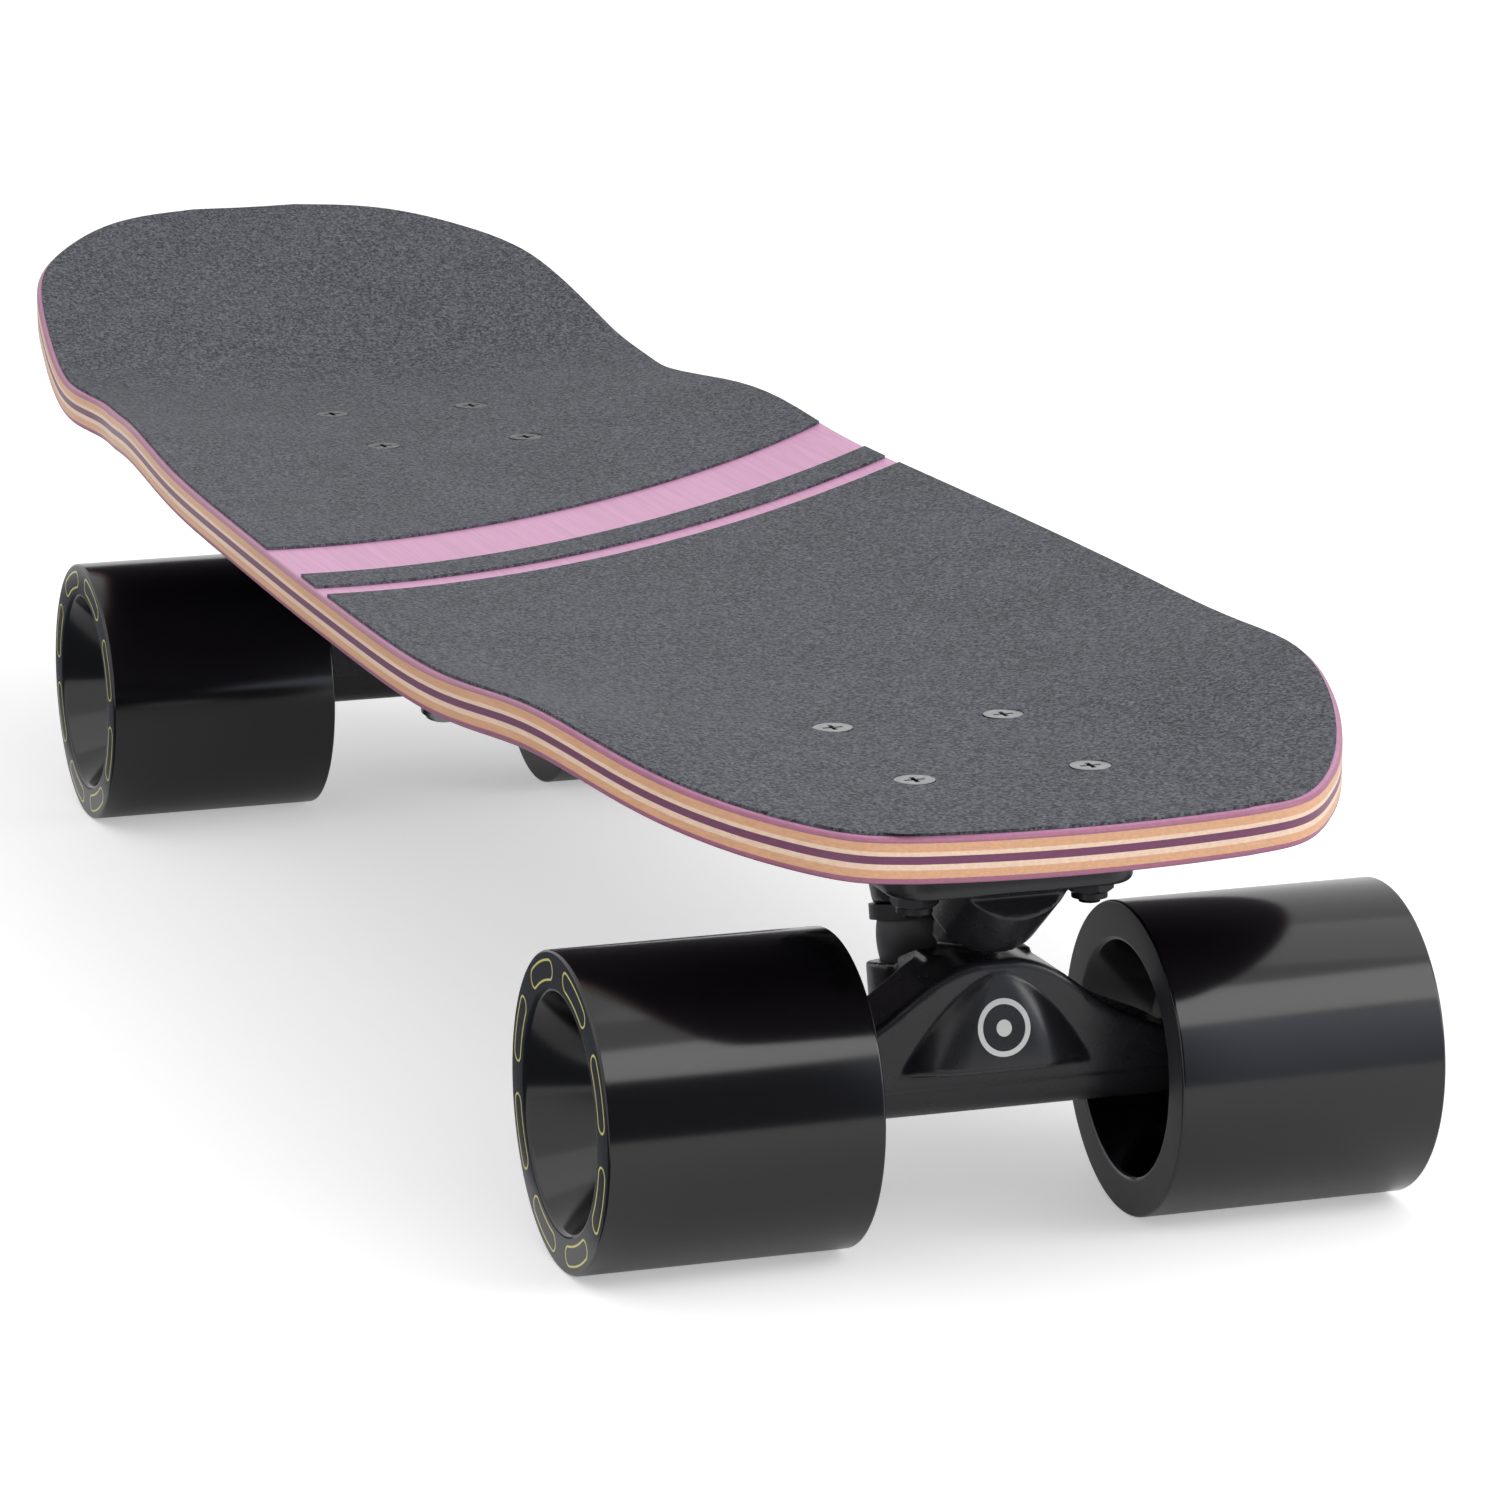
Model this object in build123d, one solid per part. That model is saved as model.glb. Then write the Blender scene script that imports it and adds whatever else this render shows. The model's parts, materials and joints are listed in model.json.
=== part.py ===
from build123d import *
import os
from math import atan2, cos, degrees, exp, hypot, log, radians, sin, tan

# A cruiser skateboard of 28 inches, in millimetres. +X points to the nose, +Y to the rider's left, +Z up.
# The origin is on the ground, under the middle of the board.

# Deck
NOSE_REACH = 77.0  # centre of the front bolt pattern to the nose
WHEELBASE = 429.0  # between the centres of the two bolt patterns
TAIL_REACH = 205.0  # centre of the rear bolt pattern to the tail
DECK_WIDTH = 197.4
NOSE_EDGE = 76.0  # straight edge across the nose
TAIL_EDGE = 32.0  # short flat at the tip of the tail
PLY_COUNT = 7
PLY_THICKNESS = 1.5
GLUE_LINE = 0.05  # film of glue over each layer, the grip and the riser pads
EDGE_ROUND = 1.3  # on the side rims of the two face veneers
CONCAVE_RISE = 7.4  # edge above the middle line
FRONT_FLARE_RISE = 6.5  # more rise at the edge, over the front wheels
FRONT_FLARE_LENGTH = 35.0
FRONT_FLARE_BEHIND_AXLE = 29.0
REAR_FLARE_RISE = 4.3
REAR_FLARE_LENGTH = 33.0
REAR_FLARE_AHEAD_OF_AXLE = 34.0
KICK_BEHIND_BOLTS = 84.0  # where the tail turns up
KICK_ANGLE = 16.0
KICK_BLEND = 7.0  # length scale of the bend

# Half outline of the deck: place along the board, and inset from the widest half width
NOSE_CURVE = ((3.0, 46.7), (19.5, 32.7), (50.5, 17.7))  # places behind the nose
FRONT_CURVE = ((4.0, 8.9), (34.5, 4.5), (94.5, 0.2), (184.5, 0.1))  # places behind the front bolts
REAR_CURVE = ((124.5, 3.3), (34.5, 6.4), (-10.5, 10.6), (-40.5, 13.6), (-70.5, 11.8))  # ahead of rear bolts
TAIL_CURVE = ((89.5, 14.9), (49.5, 22.8), (25.5, 37.7), (8.5, 56.7))  # places ahead of the tail
OUTLINE_STEPS = 2  # cross sections between two outline points

# Grip tape, in three fields with two bare stripes between them
GRIP_THICKNESS = 0.8
GRIP_INSET = 1.4  # the grip is trimmed where the rim's round starts
STRIPE_PLACE = 5.0  # wide stripe's middle, behind the middle of the board
STRIPE_ANGLE = 32.0
WIDE_STRIPE = 30.0
GRIP_BAND = 13.0  # grip left between the stripes
NARROW_STRIPE = 9.0

# Deck bolts, nuts and riser pads
BOLT_SPACING_X = 53.975
BOLT_SPACING_Y = 41.275
BOLT_DIAMETER = 4.8
BOLT_HEAD_DIAMETER = 9.2
BOLT_HEAD_DEPTH = 2.2
BOLT_END = 1.5  # thread past the nut
BOLT_CLEARANCE = 0.15
RECESS_LENGTH = 4.8
RECESS_WIDTH = 1.1
RECESS_DEPTH = 1.6
DECK_NUT_FLATS = 9.5
DECK_NUT_HEIGHT = 3.6
DECK_NUT_COLLAR = 1.4
NUT_ROOM = 0.4  # kept free round the corners of a nut
NUT_CROWN = 0.94  # chamfered end of a nut, as a share of its flats
NUT_COLLAR_WIDTH = 0.86  # locking collar, as a share of the flats
RISER_THICKNESS = 6.0
RISER_SECTIONS = 8

# Truck: heights above the axle, lengths from the axle, outwards positive
AXLE_OUTSIDE_BOLTS = 12.45
TRUCK_HEIGHT = 54.5  # axle to the top of the baseplate
FLANGE_THICKNESS = 7.0
FLANGE_LENGTH = 79.0
FLANGE_WIDTH = 58.0
FLANGE_CORNER = 9.0
FLANGE_EDGE_ROUND = 1.4
ROOT_DEPTH = 2.0  # how far the tower and the rib run into the flange
PIVOT_AHEAD = 4.0
PIVOT_ABOVE = 41.5
SEAT_BEHIND = 28.0
SEAT_ABOVE = 15.3
STEM_TIP_DIAMETER = 12.0
STEM_BASE_DIAMETER = 15.0
STEM_LENGTH = 18.0
STEM_CLEARANCE = 0.1
CUP_WALL = 2.0
CUP_MOUTH = 1.0  # mouth of the cup below the pivot point
HOUSING_MOUTH_DIAMETER = 27.0
HOUSING_TOP_DIAMETER = 29.0
HOUSING_LENGTH = 20.0
RIB_THICKNESS = 9.0
RIB_DEPTH = 6.0
FIT_GAP = 0.02  # all round, between pieces that are pressed together

# Kingpin, bushings and cup washers, along the kingpin from the middle of the hanger's ring
KINGPIN_LEAN = 12.0
KINGPIN_DIAMETER = 9.5
KINGPIN_HEAD_FLATS = 14.3
KINGPIN_HEAD_HEIGHT = 5.5
KINGPIN_HEAD_SEAT = 32.4
KINGPIN_END = 1.5  # thread past the nut
KINGPIN_CLEARANCE = 0.1
TOWER_DIAMETER = 26.0
TOWER_FOOT_DIAMETER = 31.0
RING_DIAMETER = 31.0
RING_THICKNESS = 9.0
RING_HOLE_DIAMETER = 16.0
SEAT_DEPTH = 1.5
SEAT_CLEARANCE = 0.3
BOARD_BUSHING_DIAMETER = 24.0
BOARD_BUSHING_HEIGHT = 13.0
ROAD_BUSHING_TOP_DIAMETER = 22.0
ROAD_BUSHING_END_DIAMETER = 18.6
ROAD_BUSHING_HEIGHT = 11.0
BUSHING_BORE_CLEARANCE = 0.25
BUSHING_CHAMFER = 0.8
WASHER_THICKNESS = 1.5
WASHER_LIP = 1.7
WASHER_LIP_HEIGHT = 2.0
KINGPIN_NUT_HEIGHT = 6.5
KINGPIN_NUT_COLLAR = 2.0

# Hanger
HANGER_WIDTH = 107.0
TUBE_DIAMETER = 16.6
WEB_OUTLINE = ((5.0, 29.0), (14.0, 25.6), (28.0, 15.4), (42.0, 9.0))  # half width, height above the axle
WEB_FOOT_FRONT = 9.0
WEB_TOP_FRONT = 13.0
WEB_FOOT_BACK = 9.0
WEB_TOP_BACK = 7.0
WEB_EDGE_ROUND = 1.6
WEB_FOOT_BELOW = 2.25  # the web's foot under the axle's middle
PANEL_HALF_WIDTH = 22.5
PANEL_FOOT = 4.5
PANEL_TOP = 25.0
PANEL_RISE = 4.0
PANEL_TAPER = 42.0
PANEL_CORNER = 3.0
YOKE_WIDTH = 25.0
YOKE_TOP = 28.0
YOKE_FOOT = 1.0
SWING_ROOM = 2.4  # kept free round the bushings and washers as the hanger leans

# Axle, wheels and bearings
AXLE_DIAMETER = 8.0
AXLE_END = 1.5  # thread past the nut
WHEEL_DIAMETER = 72.0
WHEEL_WIDTH = 63.5
WHEEL_EDGE_ROUND = 1.0
RECESS_MOUTH_DIAMETER = 54.0
RECESS_FLOOR_DIAMETER = 40.0
RECESS_FLOOR_ROUND = 5.0
BEARING_BORE = 8.0
BEARING_DIAMETER = 22.0
BEARING_WIDTH = 7.0
BEARING_LIP = 1.0  # bearing below the hub's face
SHOULDER_DIAMETER = 19.2
SPACER_LENGTH = 10.0
SPACER_DIAMETER = 10.4
SPEED_WASHER_THICKNESS = 1.0
SPEED_WASHER_DIAMETER = 11.2
AXLE_NUT_FLATS = 12.7
AXLE_NUT_HEIGHT = 5.0
AXLE_NUT_COLLAR = 1.8
BALL_COUNT = 7
BALL_DIAMETER = 3.97
BALL_CLEARANCE = 0.1
RACE_WALL = 2.1  # radial height of each race
CAGE_WALL = 0.8
CAGE_WIDTH = 5.4
POCKET_CLEARANCE = 0.25
SHIELD_THICKNESS = 0.4
SHIELD_INSET = 0.2
SHIELD_RUNNING_GAP = 0.2

# Worked out from the sizes above
deck_length = NOSE_REACH + WHEELBASE + TAIL_REACH
half_width = DECK_WIDTH / 2
nose_x = deck_length / 2
tail_x = -deck_length / 2
front_bolts_x = nose_x - NOSE_REACH
rear_bolts_x = tail_x + TAIL_REACH
front_axle_x = front_bolts_x + AXLE_OUTSIDE_BOLTS
rear_axle_x = rear_bolts_x - AXLE_OUTSIDE_BOLTS
axle_z = WHEEL_DIAMETER / 2
base_top = axle_z + TRUCK_HEIGHT
base_bottom = base_top - FLANGE_THICKNESS
deck_bottom = base_top + RISER_THICKNESS
deck_thickness = PLY_COUNT * PLY_THICKNESS
deck_top = deck_bottom + deck_thickness
bolt_offsets = [(x * BOLT_SPACING_X / 2, y * BOLT_SPACING_Y / 2) for x in (-1, 1) for y in (-1, 1)]
truck_places = {
    "front": Pos(front_axle_x, 0, 0),
    "rear": Pos(rear_axle_x, 0, 0) * Rot(0, 0, 180),
}

pivot = Vector(PIVOT_AHEAD, 0, axle_z + PIVOT_ABOVE)
seat = Vector(-SEAT_BEHIND, 0, axle_z + SEAT_ABOVE)
pivot_plane = Plane(origin=pivot, x_dir=(0, 1, 0), z_dir=pivot - seat)
lean = radians(KINGPIN_LEAN)
kingpin_plane = Plane(origin=seat, x_dir=(0, 1, 0), z_dir=(-sin(lean), 0, cos(lean)))
board_seat = RING_THICKNESS / 2 - SEAT_DEPTH
board_washer = board_seat + BOARD_BUSHING_HEIGHT
tower_face = board_washer + WASHER_THICKNESS
road_washer = -board_seat - ROAD_BUSHING_HEIGHT
kingpin_nut_face = road_washer - WASHER_THICKNESS

hub_width = 2 * BEARING_WIDTH + SPACER_LENGTH + 2 * BEARING_LIP
wheel_y = HANGER_WIDTH / 2 + SPEED_WASHER_THICKNESS + BEARING_WIDTH + SPACER_LENGTH / 2
bearing_middle = SPACER_LENGTH / 2 + BEARING_WIDTH / 2
bearing_outside = SPACER_LENGTH / 2 + BEARING_WIDTH
ball_circle = (BEARING_BORE + BEARING_DIAMETER) / 4
inner_race_radius = BEARING_BORE / 2 + RACE_WALL
outer_race_radius = BEARING_DIAMETER / 2 - RACE_WALL


# Shapes used more than once


def ring(outside, inside, low, high):
    """A flat ring about the local Z axis, between two heights."""
    tall = high - low
    middle = Pos(0, 0, (low + high) / 2)
    return middle * (Cylinder(outside / 2, tall) - Cylinder(inside / 2, 2 * tall))


def rod(diameter, low, high):
    """A round bar along the local Z axis, between two heights."""
    return Pos(0, 0, (low + high) / 2) * Cylinder(diameter / 2, high - low)


def taper(low_diameter, high_diameter, low, high):
    """A round bar that tapers along the local Z axis."""
    return Pos(0, 0, (low + high) / 2) * Cone(low_diameter / 2, high_diameter / 2, high - low)


def corners(flats):
    """A hexagon's width across its corners."""
    return flats / cos(radians(30))


def lock_nut(flats, height, collar, bore):
    """A hexagon nut standing on the local XY plane, with its round locking collar on top."""
    body = extrude(RegularPolygon(flats / 2, 6, major_radius=False), height)
    body &= taper(corners(flats) + 2 * height, flats * NUT_CROWN, 0, height)
    return body + rod(flats * NUT_COLLAR_WIDTH, height, height + collar) - rod(bore, -height, 3 * height)


# Deck form


def smooth_curve(points, steps):
    """A smooth curve through the points, square to the middle line at both of its ends."""
    first, last = points[0], points[-1]
    chain = [(first[0], -first[1]), *points, (last[0], -last[1])]
    curve = []
    for a, b, c, d in zip(chain, chain[1:], chain[2:], chain[3:]):
        before = hypot(b[0] - a[0], b[1] - a[1]) ** 0.5
        span = hypot(c[0] - b[0], c[1] - b[1]) ** 0.5
        after = hypot(d[0] - c[0], d[1] - c[1]) ** 0.5
        for step in range(steps):
            u = step / steps
            place = []
            for k in (0, 1):
                chord = c[k] - b[k]
                leave = chord + span * ((b[k] - a[k]) / before - (c[k] - a[k]) / (before + span))
                arrive = chord + span * ((d[k] - c[k]) / after - (d[k] - b[k]) / (span + after))
                cubic = (leave + arrive - 2 * chord) * u**3 + (3 * chord - 2 * leave - arrive) * u**2
                place.append(b[k] + leave * u + cubic)
            curve.append(tuple(place))
    return curve + [last]


def half_outline(inset):
    """Places along the board with the half width there, moved in from the deck's rim by inset."""
    points = [(nose_x, NOSE_EDGE / 2)]
    points += [(nose_x - back, half_width - narrower) for back, narrower in NOSE_CURVE]
    points += [(front_bolts_x - back, half_width - narrower) for back, narrower in FRONT_CURVE]
    points += [(rear_bolts_x + ahead, half_width - narrower) for ahead, narrower in REAR_CURVE]
    points += [(tail_x + ahead, half_width - narrower) for ahead, narrower in TAIL_CURVE]
    points += [(tail_x, TAIL_EDGE / 2)]
    curve = smooth_curve(points, OUTLINE_STEPS)
    moved = []
    for before, here, after in zip([None, *curve], curve, [*curve[1:], None]):
        if before is None:
            along = (0, 1)
        elif after is None:
            along = (0, -1)
        else:
            along = (after[0] - before[0], after[1] - before[1])
        size = hypot(*along)
        moved.append((here[0] - along[1] / size * inset, here[1] + along[0] / size * inset))
    return moved


def bell(distance, length):
    """A smooth rise that is 1 at its middle and fades over length."""
    return exp(-0.5 * (distance / length) ** 2)


def middle_height(x):
    """Height of the deck's top on the middle line: level, then the kicked tail."""
    past_bend = rear_bolts_x - KICK_BEHIND_BOLTS - x
    return deck_top + tan(radians(KICK_ANGLE)) * KICK_BLEND * log(1 + exp(past_bend / KICK_BLEND))


def edge_rise(x, half):
    """Rise of the deck above its middle line at a distance half from it."""
    front = FRONT_FLARE_RISE * bell(x - front_axle_x + FRONT_FLARE_BEHIND_AXLE, FRONT_FLARE_LENGTH)
    rear = REAR_FLARE_RISE * bell(x - rear_axle_x - REAR_FLARE_AHEAD_OF_AXLE, REAR_FLARE_LENGTH)
    return (CONCAVE_RISE + front + rear) * (half / half_width) ** 2


def cross_curve(x, half, drop):
    """The deck's curve across the board at x, lowered by drop."""
    level = middle_height(x) - drop
    rise = edge_rise(x, half)
    return Edge.make_bezier((x, -half, level + rise), (x, 0, level - rise), (x, half, level + rise))


def layer_side(x, y, top_end, bottom_end, drops, rounds):
    """Edges down one side of a layer's section, rounded into the ends of its top and bottom curves."""
    rim = middle_height(x) + edge_rise(x, abs(y))
    high, low = (rim - drop for drop in drops)
    upper = (x, y, high - rounds[0])
    lower = (x, y, low + rounds[1])
    over = [Edge.make_bezier(top_end, (x, y, high), upper)] if rounds[0] else []
    under = [Edge.make_bezier(lower, (x, y, low), bottom_end)] if rounds[1] else []
    return [*over, Edge.make_line(upper, lower), *under]


def curved_layer(stations, drops, rounds=(0, 0)):
    """A layer that follows the deck's curves between two depths, with its sides rounded at them."""
    sections = []
    for x, half in stations:
        top, bottom = (cross_curve(x, half - turn, drop) for drop, turn in zip(drops, rounds))
        left = layer_side(x, half, top @ 1, bottom @ 1, drops, rounds)
        right = layer_side(x, -half, top @ 0, bottom @ 0, drops, rounds)
        sections.append(Wire([top, *left, bottom, *reversed(right)]))
    return Solid.make_loft(sections)


def bolt_places():
    """Each deck bolt's place, with the height of the grip's top there."""
    for end, middle in (("front", front_bolts_x), ("rear", rear_bolts_x)):
        for x, y in bolt_offsets:
            place = middle + x
            yield end, Pos(place, y, middle_height(place) + edge_rise(place, abs(y)) + GRIP_THICKNESS)


def deck_bolt():
    """A countersunk bolt with a cross recess, its head's face at the origin."""
    bottom = base_bottom - DECK_NUT_HEIGHT - DECK_NUT_COLLAR - BOLT_END - deck_top - GRIP_THICKNESS
    shank = rod(BOLT_DIAMETER, bottom, -BOLT_HEAD_DEPTH / 2)
    head = taper(BOLT_DIAMETER, BOLT_HEAD_DIAMETER, -BOLT_HEAD_DEPTH, 0)
    slot = Box(RECESS_LENGTH, RECESS_WIDTH, 2 * RECESS_DEPTH)
    return shank + head - slot - Rot(0, 0, 90) * slot


def with_bolt_holes(layer, top_drop):
    """A layer of the deck with its bolt holes, opened up where the layer is as high as the heads."""
    at_heads = top_drop + GRIP_THICKNESS < BOLT_HEAD_DEPTH
    hole = (BOLT_HEAD_DIAMETER if at_heads else BOLT_DIAMETER) + 2 * BOLT_CLEARANCE
    for _, place in bolt_places():
        layer -= place * rod(hole, -2 * deck_thickness, deck_thickness)
    return layer


def make_deck():
    """Grip fields, veneers, deck bolts, nuts and riser pads."""
    nodes = {}
    rim = half_outline(0)
    for ply in range(PLY_COUNT):
        drops = (ply * PLY_THICKNESS + (GLUE_LINE if ply else 0), (ply + 1) * PLY_THICKNESS)
        rounds = (EDGE_ROUND if ply == 0 else 0, EDGE_ROUND if ply == PLY_COUNT - 1 else 0)
        nodes[f"veneer_{ply + 1}"] = with_bolt_holes(curved_layer(rim, drops, rounds), drops[0])

    sheet = curved_layer(half_outline(GRIP_INSET), (-GRIP_THICKNESS, -GLUE_LINE))
    grip = with_bolt_holes(sheet, -GRIP_THICKNESS)
    tall = 2 * (deck_top + TAIL_REACH)
    wide = Box(WIDE_STRIPE, 2 * DECK_WIDTH, tall)
    apart = (WIDE_STRIPE + NARROW_STRIPE) / 2 + GRIP_BAND
    narrow = Pos(apart, 0, 0) * Box(NARROW_STRIPE, 2 * DECK_WIDTH, tall)
    stripes = Pos(-STRIPE_PLACE, 0, 0) * Rot(0, 0, STRIPE_ANGLE) * (wide + narrow)
    fields = (grip - stripes).solids().sort_by(Axis.X)
    for name, field in zip(("rear", "middle", "front"), fields):
        nodes[f"grip_tape_{name}"] = field

    bolt = deck_bolt()
    nut = lock_nut(DECK_NUT_FLATS, DECK_NUT_HEIGHT, DECK_NUT_COLLAR, BOLT_DIAMETER + 2 * FIT_GAP)
    for end, middle in (("front", front_bolts_x), ("rear", rear_bolts_x)):
        nodes[f"{end}_deck_bolts"] = [place * bolt for name, place in bolt_places() if name == end]
        nodes[f"{end}_deck_nuts"] = [
            Pos(middle + x, y, base_bottom) * Rot(180, 0, 0) * nut for x, y in bolt_offsets
        ]
        nodes[f"{end}_riser_pad"] = riser_pad(middle)
    return nodes


def flange_outline():
    """The rounded rectangle shared by the riser pad and the baseplate, about the bolt pattern."""
    return RectangleRounded(FLANGE_LENGTH, FLANGE_WIDTH, FLANGE_CORNER)


def bolt_holes():
    """Clearance holes of the bolt pattern, through everything under the deck."""
    hole = rod(BOLT_DIAMETER + 2 * BOLT_CLEARANCE, deck_bottom / 2, 2 * deck_top)
    return [Pos(x, y, 0) * hole for x, y in bolt_offsets]


def riser_pad(middle):
    """The pad between a baseplate and the deck, its top shaped to the deck's underside."""
    reach = FLANGE_LENGTH / 2 + FLANGE_CORNER
    step = 2 * reach / RISER_SECTIONS
    stations = [(middle - reach + step * i, FLANGE_WIDTH) for i in range(RISER_SECTIONS + 1)]
    depths = (deck_thickness + GLUE_LINE, deck_thickness + 3 * RISER_THICKNESS)
    under_deck = curved_layer(stations, depths)
    block = Pos(middle, 0, base_top) * extrude(flange_outline(), 3 * RISER_THICKNESS)
    holes = [Pos(middle, 0, 0) * hole for hole in bolt_holes()]
    return block & under_deck - holes


# Truck, made with its axle over the origin and its pivot towards +X


def pivot_stem(room):
    """The hanger's pivot stem with its ball end at the pivot point, or the socket for it."""
    shaft = taper(STEM_BASE_DIAMETER + 2 * room, STEM_TIP_DIAMETER + 2 * room, -STEM_LENGTH, 0)
    return pivot_plane * (shaft + Sphere(STEM_TIP_DIAMETER / 2 + room))


def pivot_cup(room):
    """Outside of the pivot cup, or the bore that holds it."""
    mouth = STEM_BASE_DIAMETER + 2 * CUP_WALL + 2 * room
    end = STEM_TIP_DIAMETER + 2 * CUP_WALL + 2 * room
    return pivot_plane * taper(mouth, end, -CUP_MOUTH, STEM_TIP_DIAMETER / 2 + CUP_WALL + room)


def make_baseplate():
    """Flange with the pivot housing, the kingpin tower and the rib between them."""
    flange = Pos(-AXLE_OUTSIDE_BOLTS, 0, base_bottom) * extrude(flange_outline(), FLANGE_THICKNESS)
    flange = fillet(flange.edges().group_by(Axis.Z)[0], FLANGE_EDGE_ROUND)
    housing = pivot_plane * taper(
        HOUSING_MOUTH_DIAMETER, HOUSING_TOP_DIAMETER, -CUP_MOUTH, HOUSING_LENGTH - CUP_MOUTH
    )
    tower_top = (base_bottom - seat.Z) / cos(lean) + ROOT_DEPTH
    tower = kingpin_plane * taper(TOWER_DIAMETER, TOWER_FOOT_DIAMETER, tower_face, tower_top)
    rib_middle = Pos((PIVOT_AHEAD - SEAT_BEHIND) / 2, 0, base_bottom + (ROOT_DEPTH - RIB_DEPTH) / 2)
    rib = rib_middle * Box(PIVOT_AHEAD + SEAT_BEHIND, RIB_THICKNESS, RIB_DEPTH + ROOT_DEPTH)
    under_top = Pos(0, 0, base_top - deck_top) * Box(deck_length, DECK_WIDTH, 2 * deck_top)
    body = flange + (housing + tower + rib & under_top)
    head_room = corners(KINGPIN_HEAD_FLATS) + 2 * KINGPIN_CLEARANCE
    pin_hole = rod(KINGPIN_DIAMETER + 2 * KINGPIN_CLEARANCE, -deck_top, deck_top)
    body -= kingpin_plane * (pin_hole + rod(head_room, KINGPIN_HEAD_SEAT, deck_top))
    body -= pivot_cup(FIT_GAP)
    body -= pivot_plane * rod(STEM_BASE_DIAMETER + 2 * SWING_ROOM, -2 * STEM_LENGTH, -CUP_MOUTH)
    nut_room = rod(corners(DECK_NUT_FLATS) + 2 * NUT_ROOM, base_bottom - 2 * DECK_NUT_HEIGHT, base_bottom)
    nuts = [Pos(x, y, 0) * nut_room for x, y in bolt_offsets]
    return body - [Pos(-AXLE_OUTSIDE_BOLTS, 0, 0) * hole for hole in nuts + bolt_holes()]


def make_kingpin_stack():
    """Kingpin with its nut, the two cup washers and the two bushings."""
    nut_end = kingpin_nut_face - KINGPIN_NUT_HEIGHT - KINGPIN_NUT_COLLAR
    head = Pos(0, 0, KINGPIN_HEAD_SEAT) * extrude(
        RegularPolygon(KINGPIN_HEAD_FLATS / 2, 6, major_radius=False), KINGPIN_HEAD_HEIGHT
    )
    kingpin = rod(KINGPIN_DIAMETER, nut_end - KINGPIN_END, KINGPIN_HEAD_SEAT) + head
    nut = lock_nut(KINGPIN_HEAD_FLATS, KINGPIN_NUT_HEIGHT, KINGPIN_NUT_COLLAR, KINGPIN_DIAMETER + 2 * FIT_GAP)
    pin_hole = KINGPIN_DIAMETER + 2 * KINGPIN_CLEARANCE
    bore = KINGPIN_DIAMETER + 2 * BUSHING_BORE_CLEARANCE
    board = ring(BOARD_BUSHING_DIAMETER, bore, board_seat, board_washer)
    board = chamfer(board.edges().filter_by(GeomType.CIRCLE).sort_by(SortBy.RADIUS)[-2:], BUSHING_CHAMFER)
    road = taper(ROAD_BUSHING_END_DIAMETER, ROAD_BUSHING_TOP_DIAMETER, road_washer, -board_seat)
    road -= rod(bore, 2 * road_washer, 0)
    board_lip = BOARD_BUSHING_DIAMETER + 2 * SEAT_CLEARANCE
    road_lip = ROAD_BUSHING_END_DIAMETER + 4 * SEAT_CLEARANCE
    washers = [
        cup_washer(board_lip, pin_hole, board_washer, tower_face, board_washer - WASHER_LIP_HEIGHT),
        cup_washer(road_lip, pin_hole, kingpin_nut_face, road_washer, road_washer + WASHER_LIP_HEIGHT),
    ]
    return {
        "kingpin": kingpin_plane * kingpin,
        "kingpin_nut": kingpin_plane * Pos(0, 0, kingpin_nut_face) * Rot(180, 0, 0) * nut,
        "cup_washers": [kingpin_plane * washer for washer in washers],
        "board_side_bushing": kingpin_plane * board,
        "road_side_bushing": kingpin_plane * road,
    }


def cup_washer(lip_inside, hole, low, high, lip_end):
    """A washer between two heights, with a lip that reaches round the bushing to lip_end."""
    outside = lip_inside + 2 * WASHER_LIP
    lip = ring(outside, lip_inside, min(low, lip_end), max(high, lip_end))
    return ring(outside, hole, low, high) + lip


def web_block():
    """The hanger's wide web: its front outline carried back, and cut to its leaning faces."""
    tip_width, tip_height = WEB_OUTLINE[0]
    side = [(width, axle_z + height) for width, height in WEB_OUTLINE]
    foot = HANGER_WIDTH / 2 - SPEED_WASHER_THICKNESS
    outline = [(-foot, axle_z), *[(-y, z) for y, z in reversed(side)], *side, (foot, axle_z)]
    front_view = make_face(Plane.YZ * (Spline(*outline) + Line(outline[-1], outline[0])))
    across = extrude(front_view, HANGER_WIDTH, both=True)
    profile = [
        (-WEB_FOOT_BACK, axle_z - WEB_FOOT_BELOW),
        (WEB_FOOT_FRONT, axle_z - WEB_FOOT_BELOW),
        (WEB_TOP_FRONT, axle_z + tip_height),
        (-WEB_TOP_BACK, axle_z + tip_height),
    ]
    side_view = make_face(Plane.XZ * Polyline(*profile, close=True))
    web = across & extrude(side_view, HANGER_WIDTH, both=True)
    upper = [edge for edge in web.edges() if edge.center().Z > axle_z + PANEL_FOOT]
    return fillet([edge for edge in upper if edge.center().X > tip_width], WEB_EDGE_ROUND)


def front_panel():
    """The raised three-cornered panel on the front of the hanger's web."""
    lean_angle = atan2(WEB_TOP_FRONT - WEB_FOOT_FRONT, WEB_OUTLINE[0][1] + WEB_FOOT_BELOW)
    normal = (cos(lean_angle), 0, -sin(lean_angle))
    foot = (WEB_FOOT_FRONT, 0, axle_z - WEB_FOOT_BELOW)
    face_plane = Plane(origin=foot, x_dir=(0, 1, 0), z_dir=normal)
    low = PANEL_FOOT + WEB_FOOT_BELOW
    high = (PANEL_TOP + WEB_FOOT_BELOW) / cos(lean_angle)
    outline = [(-PANEL_HALF_WIDTH, low), (PANEL_HALF_WIDTH, low), (0, high)]
    triangle = make_face(Polyline(*outline, close=True))
    triangle = fillet(triangle.vertices(), PANEL_CORNER)
    return face_plane * extrude(triangle, PANEL_RISE, taper=PANEL_TAPER)


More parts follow.
